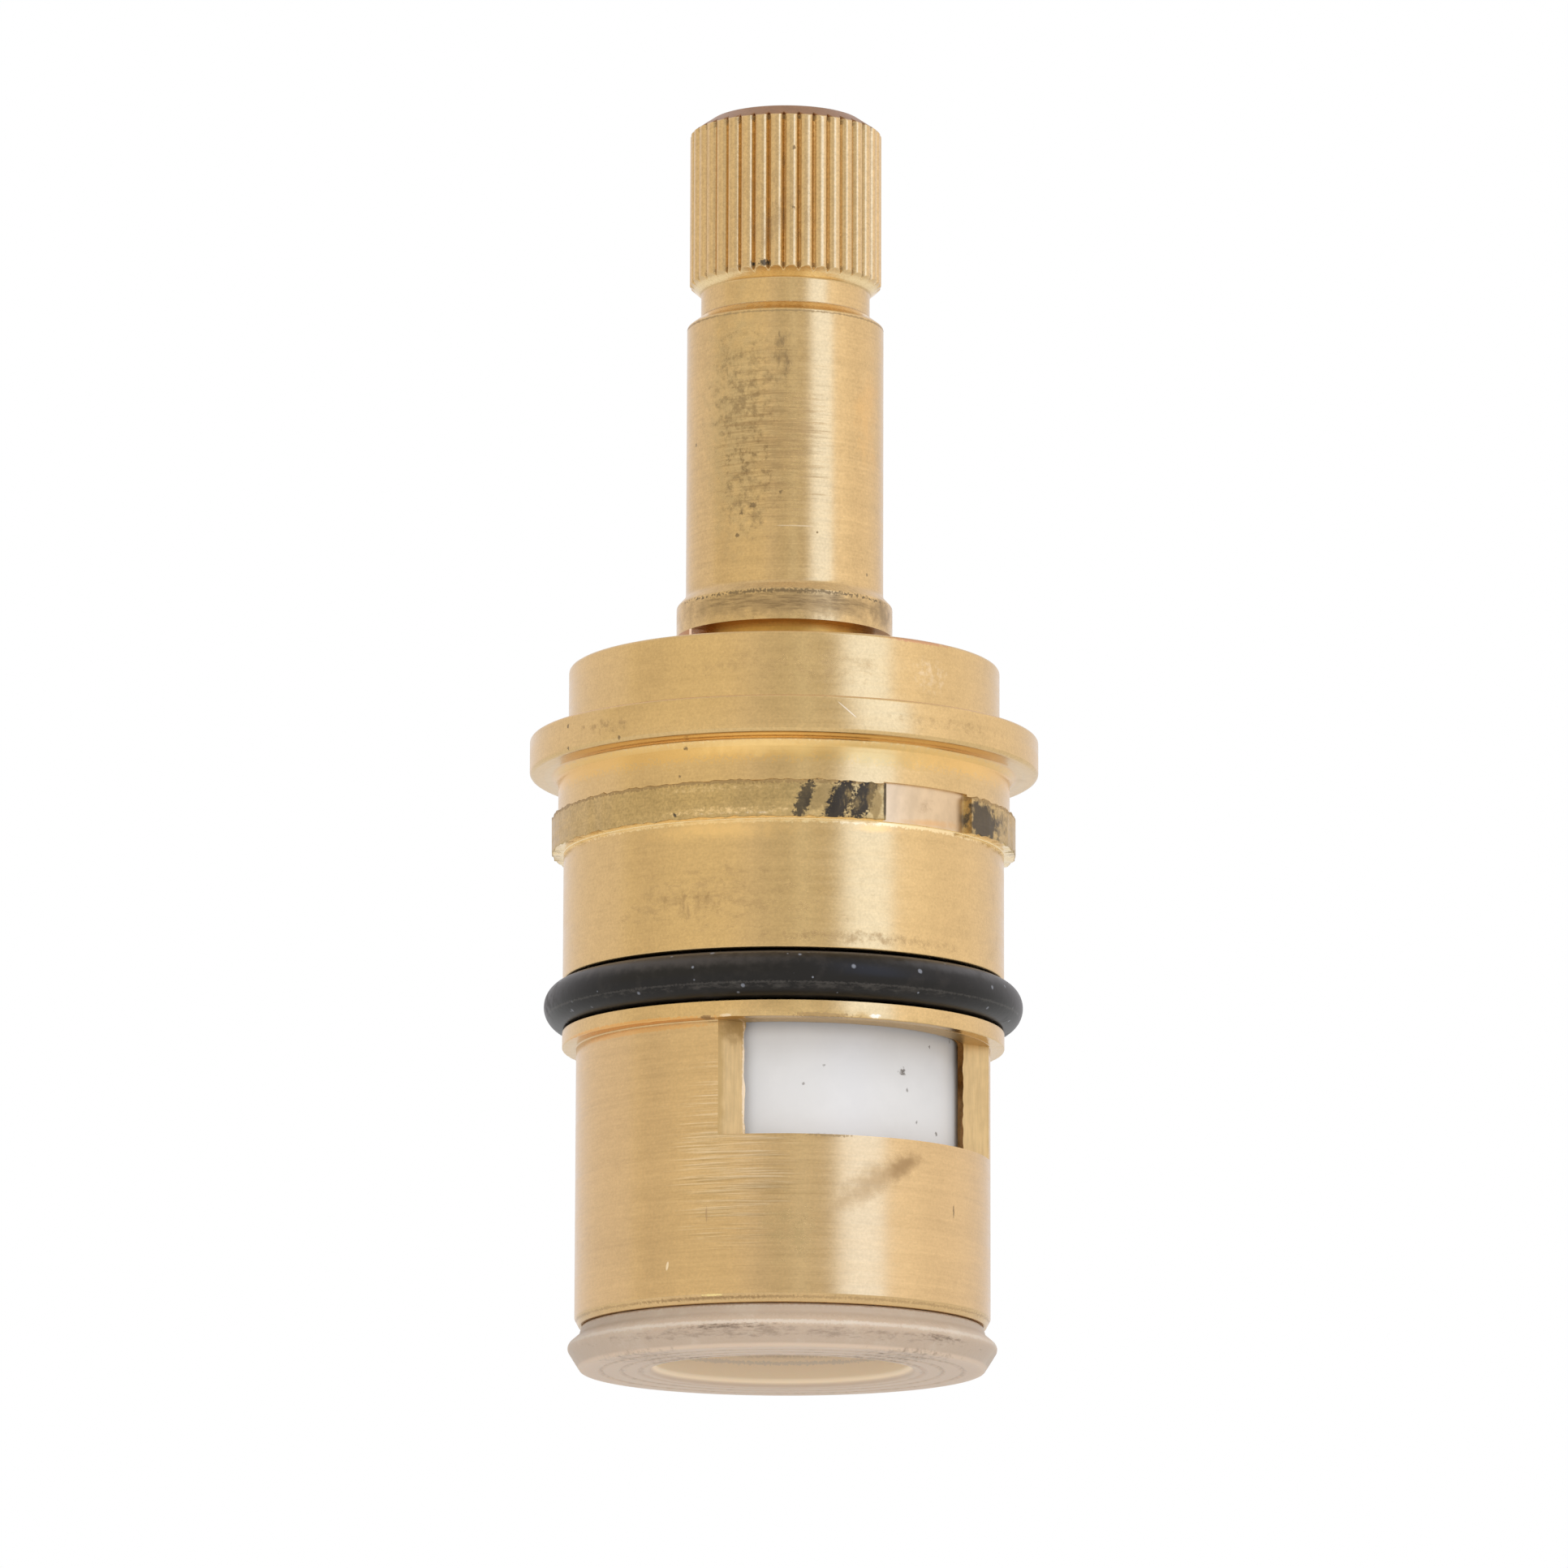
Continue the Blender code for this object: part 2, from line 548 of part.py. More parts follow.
def make_drive_coupling(shop, acetal):
    """Disc with a socket for the stem's flats and a tang for the ceramic."""
    edge = DISC_EDGE_CHAMFER
    coupling = shop.turn("drive_coupling",
                         [(0.0, COUPLING_TOP), (COUPLING_RADIUS - edge, COUPLING_TOP),
                          (COUPLING_RADIUS, COUPLING_TOP - edge),
                          (COUPLING_RADIUS, COUPLING_FOOT), (0.0, COUPLING_FOOT)],
                         DISC_STEPS, acetal, closed=False)
    tang = shop.block("coupling_tang",
                      (-TANG_WIDTH / 2.0, -TANG_LENGTH / 2.0, COUPLING_FOOT - TANG_DEPTH),
                      (TANG_WIDTH / 2.0, TANG_LENGTH / 2.0, COUPLING_FOOT + COUPLING_FLOOR / 2.0))
    combine(coupling, tang, "UNION")
    socket_radius = JOURNAL_RADIUS + RUNNING_GAP
    half_width = FLATS_HALF_WIDTH + RUNNING_GAP
    corner = math.acos(half_width / socket_radius)
    outline = arc(socket_radius, corner, math.pi - corner, ARC_STEPS)
    outline += arc(socket_radius, math.pi + corner, 2.0 * math.pi - corner, ARC_STEPS)
    socket = shop.prism("flats_socket", outline,
                        COUPLING_FOOT + COUPLING_FLOOR, COUPLING_TOP + OVERCUT)
    combine(coupling, socket, "DIFFERENCE")
    shop.turn_with_stem(coupling)


def make_rotating_disc(shop, ceramic):
    """Ceramic disc whose two lobes close the ports and fill the windows."""
    edge = DISC_EDGE_CHAMFER
    disc = shop.turn("rotating_ceramic_disc",
                     [(0.0, ROTATING_DISC_TOP),
                      (ROTATING_DISC_RADIUS - edge, ROTATING_DISC_TOP),
                      (ROTATING_DISC_RADIUS, ROTATING_DISC_TOP - edge),
                      (ROTATING_DISC_RADIUS, ROTATING_DISC_FOOT),
                      (0.0, ROTATING_DISC_FOOT)],
                     DISC_STEPS, ceramic, closed=False)
    for middle, name in ((0.0, "right"), (math.pi, "left")):
        notch = shop.prism("disc_notch_" + name,
                           sector(DISC_NOTCH_INNER_RADIUS, ROTATING_DISC_RADIUS + OVERCUT,
                                  middle - DISC_NOTCH_HALF_ANGLE,
                                  middle + DISC_NOTCH_HALF_ANGLE),
                           ROTATING_DISC_FOOT - OVERCUT, ROTATING_DISC_TOP + OVERCUT)
        combine(disc, notch, "DIFFERENCE")
    half_width = TANG_WIDTH / 2.0 + RUNNING_GAP
    half_length = TANG_LENGTH / 2.0 + RUNNING_GAP
    slot = shop.block("tang_slot",
                      (-half_width, -half_length, COUPLING_FOOT - TANG_DEPTH - FACE_GAP),
                      (half_width, half_length, ROTATING_DISC_TOP + OVERCUT))
    combine(disc, slot, "DIFFERENCE")
    shop.turn_with_stem(disc)


def make_fixed_disc(shop, ceramic):
    """Ceramic disc with two ports, held from turning by its two ears."""
    disc = shop.turn("fixed_ceramic_disc",
                     [(0.0, FIXED_DISC_TOP), (FIXED_DISC_RADIUS, FIXED_DISC_TOP),
                      (FIXED_DISC_RADIUS, FIXED_DISC_FOOT), (0.0, FIXED_DISC_FOOT)],
                     DISC_STEPS, ceramic, closed=False)
    ear_reach = SKIRT_BORE_RADIUS + KEYWAY_DEPTH - RUNNING_GAP
    ears = shop.block("disc_ears",
                      (-ear_reach, -EAR_WIDTH / 2.0, FIXED_DISC_FOOT + FACE_GAP),
                      (ear_reach, EAR_WIDTH / 2.0, FIXED_DISC_TOP - FACE_GAP))
    combine(disc, ears, "UNION")
    for middle, name in ((FRONT, "front"), (BACK, "back")):
        port = shop.prism("disc_port_" + name,
                          sector(PORT_INNER_RADIUS, PORT_OUTER_RADIUS,
                                 middle - PORT_HALF_ANGLE, middle + PORT_HALF_ANGLE),
                          FIXED_DISC_FOOT - OVERCUT, FIXED_DISC_TOP + OVERCUT)
        combine(disc, port, "DIFFERENCE")


def make_seat_seal(shop, silicone):
    """Lip ring with a sleeve; its rim is a blunt V that seats in the tap."""
    rim_tip = SEAL_RIM_RADIUS - SEAL_RIM_ROUNDING / 2.0
    shop.turn("seat_seal",
              [(SEAL_SLEEVE_RADIUS, SEAL_TOP),
               (SEAL_SLEEVE_RADIUS, SEAL_LIP_HEIGHT),
               (SEAL_NECK_RADIUS, SEAL_LIP_HEIGHT),
               (rim_tip, SEAL_RIM_LEVEL + SEAL_RIM_ROUNDING),
               (SEAL_RIM_RADIUS, SEAL_RIM_LEVEL),
               (rim_tip, SEAL_RIM_LEVEL - SEAL_RIM_ROUNDING),
               (SEAL_FOOT_RADIUS, 0.0),
               (SEAL_BORE_RADIUS + SEAL_BORE_CHAMFER, 0.0),
               (SEAL_BORE_RADIUS, SEAL_BORE_CHAMFER),
               (SEAL_BORE_RADIUS, SEAL_FLOOR_HEIGHT),
               (SEAL_POCKET_RADIUS, SEAL_FLOOR_HEIGHT),
               (SEAL_POCKET_RADIUS, SEAL_TOP)],
              BODY_STEPS, silicone)


def make_support_ring(shop, acetal):
    """Stiff ring that keeps the sleeve of the seal against the body."""
    outer = SEAL_POCKET_RADIUS - RUNNING_GAP
    inner = outer - SUPPORT_RING_WALL
    foot = SEAL_FLOOR_HEIGHT + FACE_GAP
    shop.turn("seal_support_ring",
              [(outer, SEAL_TOP), (outer, foot), (inner, foot), (inner, SEAL_TOP)],
              SMALL_STEPS, acetal)


def make_sealing_rings(shop, rubber):
    """Ring in the groove of the body, and two on the journal of the stem."""
    shop.torus("body_o_ring", BODY_RING_CENTRE_RADIUS, BODY_RING_CORD,
               RING_GROOVE_FOOT + BODY_RING_CORD / 2.0 + RING_GAP,
               BODY_STEPS, CORD_STEPS, rubber)
    for name, level in (("upper", UPPER_RING_LEVEL), ("lower", LOWER_RING_LEVEL)):
        ring = shop.torus("stem_o_ring_" + name, STEM_RING_CENTRE_RADIUS, STEM_RING_CORD,
                          level, SMALL_STEPS, SMALL_CORD_STEPS, rubber)
        shop.turn_with_stem(ring)


def main():
    """Build every piece of the cartridge."""
    clear_scene()
    shop = Workshop()
    body_brass = new_material("body_brass", (0.66, 0.48, 0.22), 0.34, 1.0)
    stem_brass = new_material("stem_brass", (0.68, 0.50, 0.24), 0.30, 1.0)
    spring_steel = new_material("spring_steel", (0.55, 0.55, 0.57), 0.35, 1.0)
    ceramic = new_material("white_ceramic", (0.86, 0.86, 0.84), 0.25, 0.0)
    rubber = new_material("black_rubber", (0.02, 0.02, 0.02), 0.55, 0.0)
    silicone = new_material("beige_silicone", (0.72, 0.61, 0.45), 0.45, 0.0)
    acetal = new_material("white_acetal", (0.82, 0.81, 0.77), 0.45, 0.0)
    make_stem(shop, stem_brass)
    make_body(shop, body_brass)
    make_sealing_rings(shop, rubber)
    make_thrust_washer(shop, acetal)
    make_retaining_clip(shop, spring_steel)
    make_drive_coupling(shop, acetal)
    make_rotating_disc(shop, ceramic)
    make_fixed_disc(shop, ceramic)
    make_support_ring(shop, acetal)
    make_seat_seal(shop, silicone)


main()
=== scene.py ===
"""Looks of a quarter-turn ceramic tap cartridge (faucet stem).

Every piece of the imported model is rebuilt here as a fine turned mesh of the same
size and dressed in a procedural finish: turned brass with rubbed-in grime, a raw
milled key ring, black rubber, white ceramic and a beige silicone seal. The pieces
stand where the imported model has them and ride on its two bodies.
"""

import logging
import math
from collections.abc import Callable, Iterable
from dataclasses import dataclass
from enum import Enum
from functools import cached_property
from typing import ClassVar

import bmesh
import bpy
from mathutils import Matrix, Vector, noise


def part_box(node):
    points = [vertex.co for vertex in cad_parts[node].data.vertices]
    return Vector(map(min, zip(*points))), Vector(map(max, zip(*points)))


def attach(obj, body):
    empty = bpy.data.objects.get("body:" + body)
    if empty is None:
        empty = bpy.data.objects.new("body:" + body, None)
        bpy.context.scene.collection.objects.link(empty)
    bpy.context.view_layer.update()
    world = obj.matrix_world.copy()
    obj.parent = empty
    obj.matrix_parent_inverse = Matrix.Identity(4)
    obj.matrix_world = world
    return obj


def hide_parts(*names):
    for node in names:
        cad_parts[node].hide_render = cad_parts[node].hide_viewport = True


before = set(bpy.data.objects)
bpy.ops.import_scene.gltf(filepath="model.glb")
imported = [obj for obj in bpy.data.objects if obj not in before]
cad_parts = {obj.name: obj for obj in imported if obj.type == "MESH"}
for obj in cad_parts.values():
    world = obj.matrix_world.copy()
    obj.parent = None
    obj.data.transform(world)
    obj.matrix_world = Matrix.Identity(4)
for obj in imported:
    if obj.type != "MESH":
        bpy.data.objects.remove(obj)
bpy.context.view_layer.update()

MM = 0.001
ALL_ROUND = 1.0e5  # half width, in degrees, of a stain that runs all the way round
Outline = list[tuple[float, float]]
Colour = tuple[float, float, float]
Shape = Callable[[float, float, float], float]
Item = bpy.types.Object
Face = bpy.types.MeshPolygon
Tree = bpy.types.NodeTree
Node = bpy.types.Node
Socket = bpy.types.NodeSocket
log = logging.getLogger("cartridge")


class Body(Enum):
    """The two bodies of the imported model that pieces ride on."""

    HOUSING = "body"
    SPINDLE = "spindle"


class Slot(Enum):
    """Material slots of the record."""

    BODY_BRASS = "body_brass"
    STEM_BRASS = "stem_brass"
    RUBBER = "black_rubber"
    ACETAL = "white_acetal"
    STEEL = "spring_steel"
    CERAMIC = "white_ceramic"
    SILICONE = "beige_silicone"


# Mesh tools


@dataclass(frozen=True)
class Corner:
    """One corner of a turned profile.

    Attributes:
        radius: Distance from the axis.
        level: Height above the seat.
        fillet: Radius of the rounding at this corner, or 0 for a sharp one.
    """

    radius: float
    level: float
    fillet: float = 0.0


def rounded(corners: list[Corner], closed: bool = True, arc_points: int = 4) -> Outline:
    """Round the corners of a profile.

    Args:
        corners: The profile's corners, running down the outer side first.
        closed: Whether the last corner joins the first.
        arc_points: Points along each rounding.

    Returns:
        The profile as (radius, level) points.
    """
    points: Outline = []
    count = len(corners)
    for i, corner in enumerate(corners):
        here = Vector((corner.radius, corner.level))
        is_end = not closed and i in (0, count - 1)
        if corner.fillet <= 0.0 or is_end:
            points.append((here.x, here.y))
            continue
        before = corners[i - 1]
        after = corners[(i + 1) % count]
        back = Vector((before.radius, before.level)) - here
        ahead = Vector((after.radius, after.level)) - here
        half = back.angle(ahead) / 2.0
        limit = 0.45 * min(back.length, ahead.length)
        reach = min(corner.fillet / math.tan(half), limit)
        back.normalize()
        ahead.normalize()
        radius = reach * math.tan(half)
        centre = here + (back + ahead).normalized() * (radius / math.sin(half))
        start = (here + back * reach) - centre
        end = (here + ahead * reach) - centre
        for k in range(arc_points + 1):
            share = k / arc_points
            spoke = (start * (1.0 - share) + end * share).normalized() * radius
            points.append((centre.x + spoke.x, centre.y + spoke.y))
    return points


def lathe(name: str, profile: Outline, segments: int, closed: bool = True,
          shape: Shape | None = None) -> Item:
    """Turn a profile about the Z axis into a mesh.

    Args:
        name: Name of the new object.
        profile: (radius, level) points, running down the outer side first.
        segments: Facets round the piece.
        closed: Whether the profile closes on itself; an open one ends on the axis.
        shape: Gives the radius from (radius, level, angle), where a piece isn't round.

    Returns:
        The new object, linked to the scene.
    """
    solid = bmesh.new()
    rings = []
    for radius, level in profile:
        if radius < 1e-7:
            rings.append([solid.verts.new((0.0, 0.0, level))])
            continue
        ring = []
        for j in range(segments):
            angle = math.tau * j / segments
            r = shape(radius, level, angle) if shape else radius
            ring.append(solid.verts.new((r * math.cos(angle), r * math.sin(angle), level)))
        rings.append(ring)
    pairs = list(zip(rings, rings[1:]))
    if closed:
        pairs.append((rings[-1], rings[0]))
    for upper, lower in pairs:
        for j in range(segments):
            k = (j + 1) % segments
            if len(upper) == 1:
                solid.faces.new((upper[0], lower[j], lower[k]))
            elif len(lower) == 1:
                solid.faces.new((upper[j], lower[0], upper[k]))
            else:
                solid.faces.new((upper[j], lower[j], lower[k], upper[k]))
    return object_from(name, solid)


def disc_profile(radius: float, top: float, foot: float, edge: float) -> Outline:
    """Profile of a disc with rounded edges."""
    return rounded([Corner(0.0, top), Corner(radius, top, edge), Corner(radius, foot, edge),
                    Corner(0.0, foot)], closed=False)


def ring_profile(outer: float, inner: float, top: float, foot: float, edge: float) -> Outline:
    """Profile of a flat ring with rounded edges."""
    return rounded([Corner(outer, top, edge), Corner(outer, foot, edge),
                    Corner(inner, foot, edge), Corner(inner, top, edge)])


def object_from(name: str, solid: bmesh.types.BMesh) -> Item:
    """Turn a finished bmesh into an object and free it.

    Args:
        name: Name of the new object.
        solid: The finished bmesh.

    Returns:
        The new object, linked to the scene.
    """
    mesh = bpy.data.meshes.new(name)
    solid.to_mesh(mesh)
    solid.free()
    item = bpy.data.objects.new(name, mesh)
    bpy.context.scene.collection.objects.link(item)
    return item


def arc(radius: float, start: float, end: float, steps: int) -> Outline:
    """Points along an arc about the origin, angles in radians from +X."""
    angles = [start + (end - start) * i / steps for i in range(steps + 1)]
    return [(radius * math.cos(a), radius * math.sin(a)) for a in angles]


def sector(inner: float, outer: float, start: float, end: float, steps: int = 24) -> Outline:
    """Outline of a ring sector, or of a pie slice.

    Args:
        inner: Inner radius, or 0 for a pie slice.
        outer: Outer radius.
        start: Angle of the first side, in radians from +X.
        end: Angle of the second side.
        steps: Parts of each arc.

    Returns:
        The outline as (x, y) points.
    """
    outline = arc(outer, start, end, steps)
    if inner > 0.0:
        return outline + arc(inner, end, start, steps)
    return outline + [(0.0, 0.0)]


def prism(name: str, outline: Outline, foot: float, top: float) -> Item:
    """Raise a flat outline between two levels.

    Args:
        name: Name of the new object.
        outline: The outline as (x, y) points.
        foot: Level of the underside.
        top: Level of the upper side.

    Returns:
        The new object, linked to the scene.
    """
    solid = bmesh.new()
    face = solid.faces.new([solid.verts.new((x, y, foot)) for x, y in outline])
    raised = bmesh.ops.extrude_face_region(solid, geom=[face])
    moved = [v for v in raised["geom"] if isinstance(v, bmesh.types.BMVert)]
    bmesh.ops.translate(solid, verts=moved, vec=(0.0, 0.0, top - foot))
    bmesh.ops.recalc_face_normals(solid, faces=solid.faces)
    return object_from(name, solid)


def block(name: str, low: Iterable[float], high: Iterable[float]) -> Item:
    """Make a box between two opposite corners.

    Args:
        name: Name of the new object.
        low: The corner with the lowest coordinates.
        high: The corner with the highest coordinates.

    Returns:
        The new object, linked to the scene.
    """
    lowest = Vector(low)
    highest = Vector(high)
    solid = bmesh.new()
    size = Matrix.Diagonal((*(highest - lowest), 1.0))
    bmesh.ops.create_cube(solid, size=1.0,
                          matrix=Matrix.Translation((lowest + highest) / 2.0) @ size)
    return object_from(name, solid)


def cut(item: Item, tools: list[Item],
        operation: str = "DIFFERENCE") -> None:
    """Cut or join an object with tool objects, which are used up.

    Args:
        item: The object to change.
        tools: The cutting or joining shapes.
        operation: The Boolean modifier's operation.
    """
    for tool in tools:
        boolean = item.modifiers.new(tool.name, "BOOLEAN")
        boolean.operation = operation
        boolean.solver = "EXACT"
        boolean.object = tool
    apply_modifiers(item)
    for tool in tools:
        bpy.data.objects.remove(tool, do_unlink=True)


def apply_modifiers(item: Item) -> None:
    """Replace an object's mesh by its evaluated mesh and clear its modifiers.

    Args:
        item: The object to change.
    """
    depsgraph = bpy.context.evaluated_depsgraph_get()
    mesh = bpy.data.meshes.new_from_object(item.evaluated_get(depsgraph))
    mesh.name = item.name
    item.modifiers.clear()
    item.data = mesh


def ease_edges(item: Item, width: float, angle: float = 40.0) -> None:
    """Break the sharp edges that cuts left behind.

    Args:
        item: The object to change.
        width: Width of the broken edge.
        angle: Edges sharper than this many degrees are broken.
    """
    bevel = item.modifiers.new("eased_edges", "BEVEL")
    bevel.width = width
    bevel.segments = 2
    bevel.limit_method = "ANGLE"
    bevel.angle_limit = math.radians(angle)
    bevel.use_clamp_overlap = True
    bevel.miter_outer = "MITER_ARC"
    apply_modifiers(item)


def smooth(item: Item, angle: float = 35.0) -> None:
    """Shade an object smooth, with sharp edges kept and flat faces flat.

    Args:
        item: The object to change.
        angle: Edges sharper than this many degrees stay sharp.
    """
    item.data.shade_smooth()
    item.data.set_sharp_from_angle(angle=math.radians(angle))
    weighted = item.modifiers.new("flat_faces", "WEIGHTED_NORMAL")
    weighted.keep_sharp = True
    weighted.weight = 90
    apply_modifiers(item)


def rough_edge(angle: float, level: float, size: float, seed: float) -> float:
    """Ragged value from -1 to 1 along a circular edge.

    Args:
        angle: Angle round the axis, in radians.
        level: Height, which tells one edge from another.
        size: How many ragged bites fit round a unit circle.
        seed: Offset that makes edges differ.

    Returns:
        The value.
    """
    place = Vector((math.cos(angle) * size, math.sin(angle) * size, level / MM * 0.7 + seed))
    return noise.noise(place) + 0.5 * noise.noise(place * 2.7)


def paint_faces(item: Item, materials: tuple[bpy.types.Material, ...],
                choose: Callable[[Face], int]) -> None:
    """Give each face of an object one of several materials.

    Args:
        item: The object to change.
        materials: The materials.
        choose: Gives the number of a face's material.
    """
    item.data.materials.clear()
    for material in materials:
        item.data.materials.append(material)
    for face in item.data.polygons:
        face.material_index = choose(face)


def install(item: Item, body: Body, node: str) -> None:
    """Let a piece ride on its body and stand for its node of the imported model.

    Args:
        item: The piece.
        body: Body that it rides on.
        node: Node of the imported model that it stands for.
    """
    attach(item, body.value)
    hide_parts(node)
    log.info("%s stands for %s", item.name, node)


def complete(item: Item, material: bpy.types.Material, body: Body,
             node: str, angle: float = 35.0) -> None:
    """Shade, dress and install a piece of one material.

    Args:
        item: The piece.
        material: Its material.
        body: Body that it rides on.
        node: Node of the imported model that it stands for.
        angle: Edges sharper than this many degrees stay sharp.
    """
    smooth(item, angle)
    item.data.materials.append(material)
    install(item, body, node)


# Shader tools


class Sheet:
    """Short ways to add nodes to one node tree. Inputs take sockets and values alike."""

    def __init__(self, tree: Tree) -> None:
        """Keep the tree that nodes are added to."""
        self.tree = tree

    def add(self, kind: str, **settings: object) -> Node:
        """Add a node.

        Args:
            kind: Type of the node.
            **settings: Attributes of the node.

        Returns:
            The new node.
        """
        node = self.tree.nodes.new(kind)
        for name, value in settings.items():
            setattr(node, name, value)
        return node

    def feed(self, node: Node, name: str | int, value: object) -> None:
        """Link a socket to an input, or set the input's value.

        Args:
            node: The node with the input.
            name: Name or number of the input.
            value: A socket, a value, or None to leave the input alone.
        """
        if isinstance(value, Socket):
            self.tree.links.new(value, node.inputs[name])
        elif value is not None:
            node.inputs[name].default_value = value

    def fill(self, node: Node, **inputs: object) -> None:
        """Feed several inputs, in whose names an underscore stands for a space."""
        for name, value in inputs.items():
            self.feed(node, name.replace("_", " "), value)

    def math(self, operation: str, a: object, b: object = None, c: object = None,
             clamp: bool = False) -> Socket:
        """Add a Math node.

        Args:
            operation: What the node does.
            a: First number.
            b: Second number, where there is one.
            c: Third number, where there is one.
            clamp: Whether the result is kept between 0 and 1.

        Returns:
            The result.
        """
        node = self.add("ShaderNodeMath", operation=operation, use_clamp=clamp)
        for index, value in enumerate((a, b, c)):
            self.feed(node, index, value)
        return node.outputs[0]

    def plus(self, a: object, b: object) -> Socket:
        """Sum of two numbers."""
        return self.math("ADD", a, b)

    def minus(self, a: object, b: object) -> Socket:
        """First number less the second."""
        return self.math("SUBTRACT", a, b)

    def times(self, a: object, b: object) -> Socket:
        """Product of two numbers."""
        return self.math("MULTIPLY", a, b)

    def band(self, value: object, low: object, high: object, to_low: float = 0.0,
             to_high: float = 1.0) -> Socket:
        """Map a value smoothly from one range to another, clamped.

        Args:
            value: The value.
            low: Where the change begins.
            high: Where the change ends.
            to_low: Result at and below the low end.
            to_high: Result at and above the high end.

        Returns:
            The mapped value.
        """
        node = self.add("ShaderNodeMapRange", interpolation_type="SMOOTHSTEP")
        self.fill(node, Value=value, From_Min=low, From_Max=high, To_Min=to_low, To_Max=to_high)
        return node.outputs[0]

    def noise(self, vector: object, scale: float, detail: float = 2.0,
              roughness: float = 0.5) -> Socket:
        """Add a noise texture.

        Args:
            vector: Where the noise is read.
            scale: Fineness of the noise.
            detail: Number of finer layers.
            roughness: Strength of the finer layers.

        Returns:
            The noise, about a half on average.
        """
        node = self.add("ShaderNodeTexNoise")
        self.fill(node, Vector=vector, Scale=scale, Detail=detail, Roughness=roughness)
        return node.outputs[0]

    def where(self) -> Socket:
        """Place on the piece, in the frame of the whole part."""
        return self.add("ShaderNodeTexCoord").outputs["Object"]

    def parts(self, vector: Socket) -> tuple[Socket, ...]:
        """Take a vector apart."""
        node = self.add("ShaderNodeSeparateXYZ")
        self.feed(node, 0, vector)
        return tuple(node.outputs)

    def join(self, *numbers: object) -> Socket:
        """Make a vector of three numbers."""
        node = self.add("ShaderNodeCombineXYZ")
        for index, value in enumerate(numbers):
            self.feed(node, index, value)
        return node.outputs[0]

    def stretch(self, vector: object, factors: object) -> Socket:
        """Multiply the parts of a vector by those of another."""
        node = self.add("ShaderNodeVectorMath", operation="MULTIPLY")
        self.feed(node, 0, vector)
        self.feed(node, 1, factors)
        return node.outputs[0]

    def scale(self, vector: object, factor: object) -> Socket:
        """Multiply a vector by a number."""
        node = self.add("ShaderNodeVectorMath", operation="SCALE")
        self.fill(node, Vector=vector, Scale=factor)
        return node.outputs[0]

    def dot(self, vector: Socket, direction: tuple[float, float, float]) -> Socket:
        """Dot product of a direction socket and a fixed direction."""
        node = self.add("ShaderNodeVectorMath", operation="DOT_PRODUCT")
        self.feed(node, 0, vector)
        self.feed(node, 1, direction)
        return node.outputs["Value"]

    def mix(self, share: object, first: object, second: object) -> Socket:
        """Mix two colours.

        Args:
            share: Share of the second colour.
            first: A socket or (r, g, b).
            second: A socket or (r, g, b).

        Returns:
            The mixed colour.
        """
        node = self.add("ShaderNodeMix", data_type="RGBA")
        self.feed(node, "Factor", share)
        colours = [s for s in node.inputs if s.type == "RGBA"]
        for target, value in zip(colours, (first, second)):
            if isinstance(value, Socket):
                self.tree.links.new(value, target)
            else:
                target.default_value = (*value, 1.0)
        return [s for s in node.outputs if s.type == "RGBA"][0]

    def bump(self, strength: float, distance: float, height: Socket) -> Socket:
        """Add a bump.

        Args:
            strength: Share of the bump that shows.
            distance: How far the surface seems to rise.
            height: Texture of the bump.

        Returns:
            The bumped normal.
        """
        node = self.add("ShaderNodeBump")
        self.fill(node, Strength=strength, Distance=distance, Height=height)
        return node.outputs[0]

    def group(self, tree: Tree, **inputs: object) -> dict[str, Socket]:
        """Place a node group.

        Args:
            tree: The node group.
            **inputs: Its inputs, in whose names an underscore stands for a space.

        Returns:
            Its outputs by name.
        """
        node = self.add("ShaderNodeGroup")
        node.node_tree = tree
        self.fill(node, **inputs)
        return dict(node.outputs.items())

    def mask(self, tree: Tree, **inputs: object) -> Socket:
        """Place a node group and return its mask."""
        return self.group(tree, **inputs)["Mask"]


def new_group(name: str, inputs: dict[str, float], outputs: tuple[str, ...] = ("Mask",)
              ) -> tuple[Sheet, dict[str, Socket], Node]:
    """Start a shader node group.

    Args:
        name: Name of the group.
        inputs: Number inputs and their first values.
        outputs: Number outputs.

    Returns:
        A sheet to add nodes with, the group's inputs by name, and its output node.
    """
    tree = bpy.data.node_groups.new(name, "ShaderNodeTree")
    for label, value in inputs.items():
        entry = tree.interface.new_socket(name=label, in_out="INPUT", socket_type="NodeSocketFloat")
        entry.default_value = value
    for label in outputs:
        tree.interface.new_socket(name=label, in_out="OUTPUT", socket_type="NodeSocketFloat")
    sheet = Sheet(tree)
    into = sheet.add("NodeGroupInput")
    return sheet, dict(into.outputs.items()), sheet.add("NodeGroupOutput")


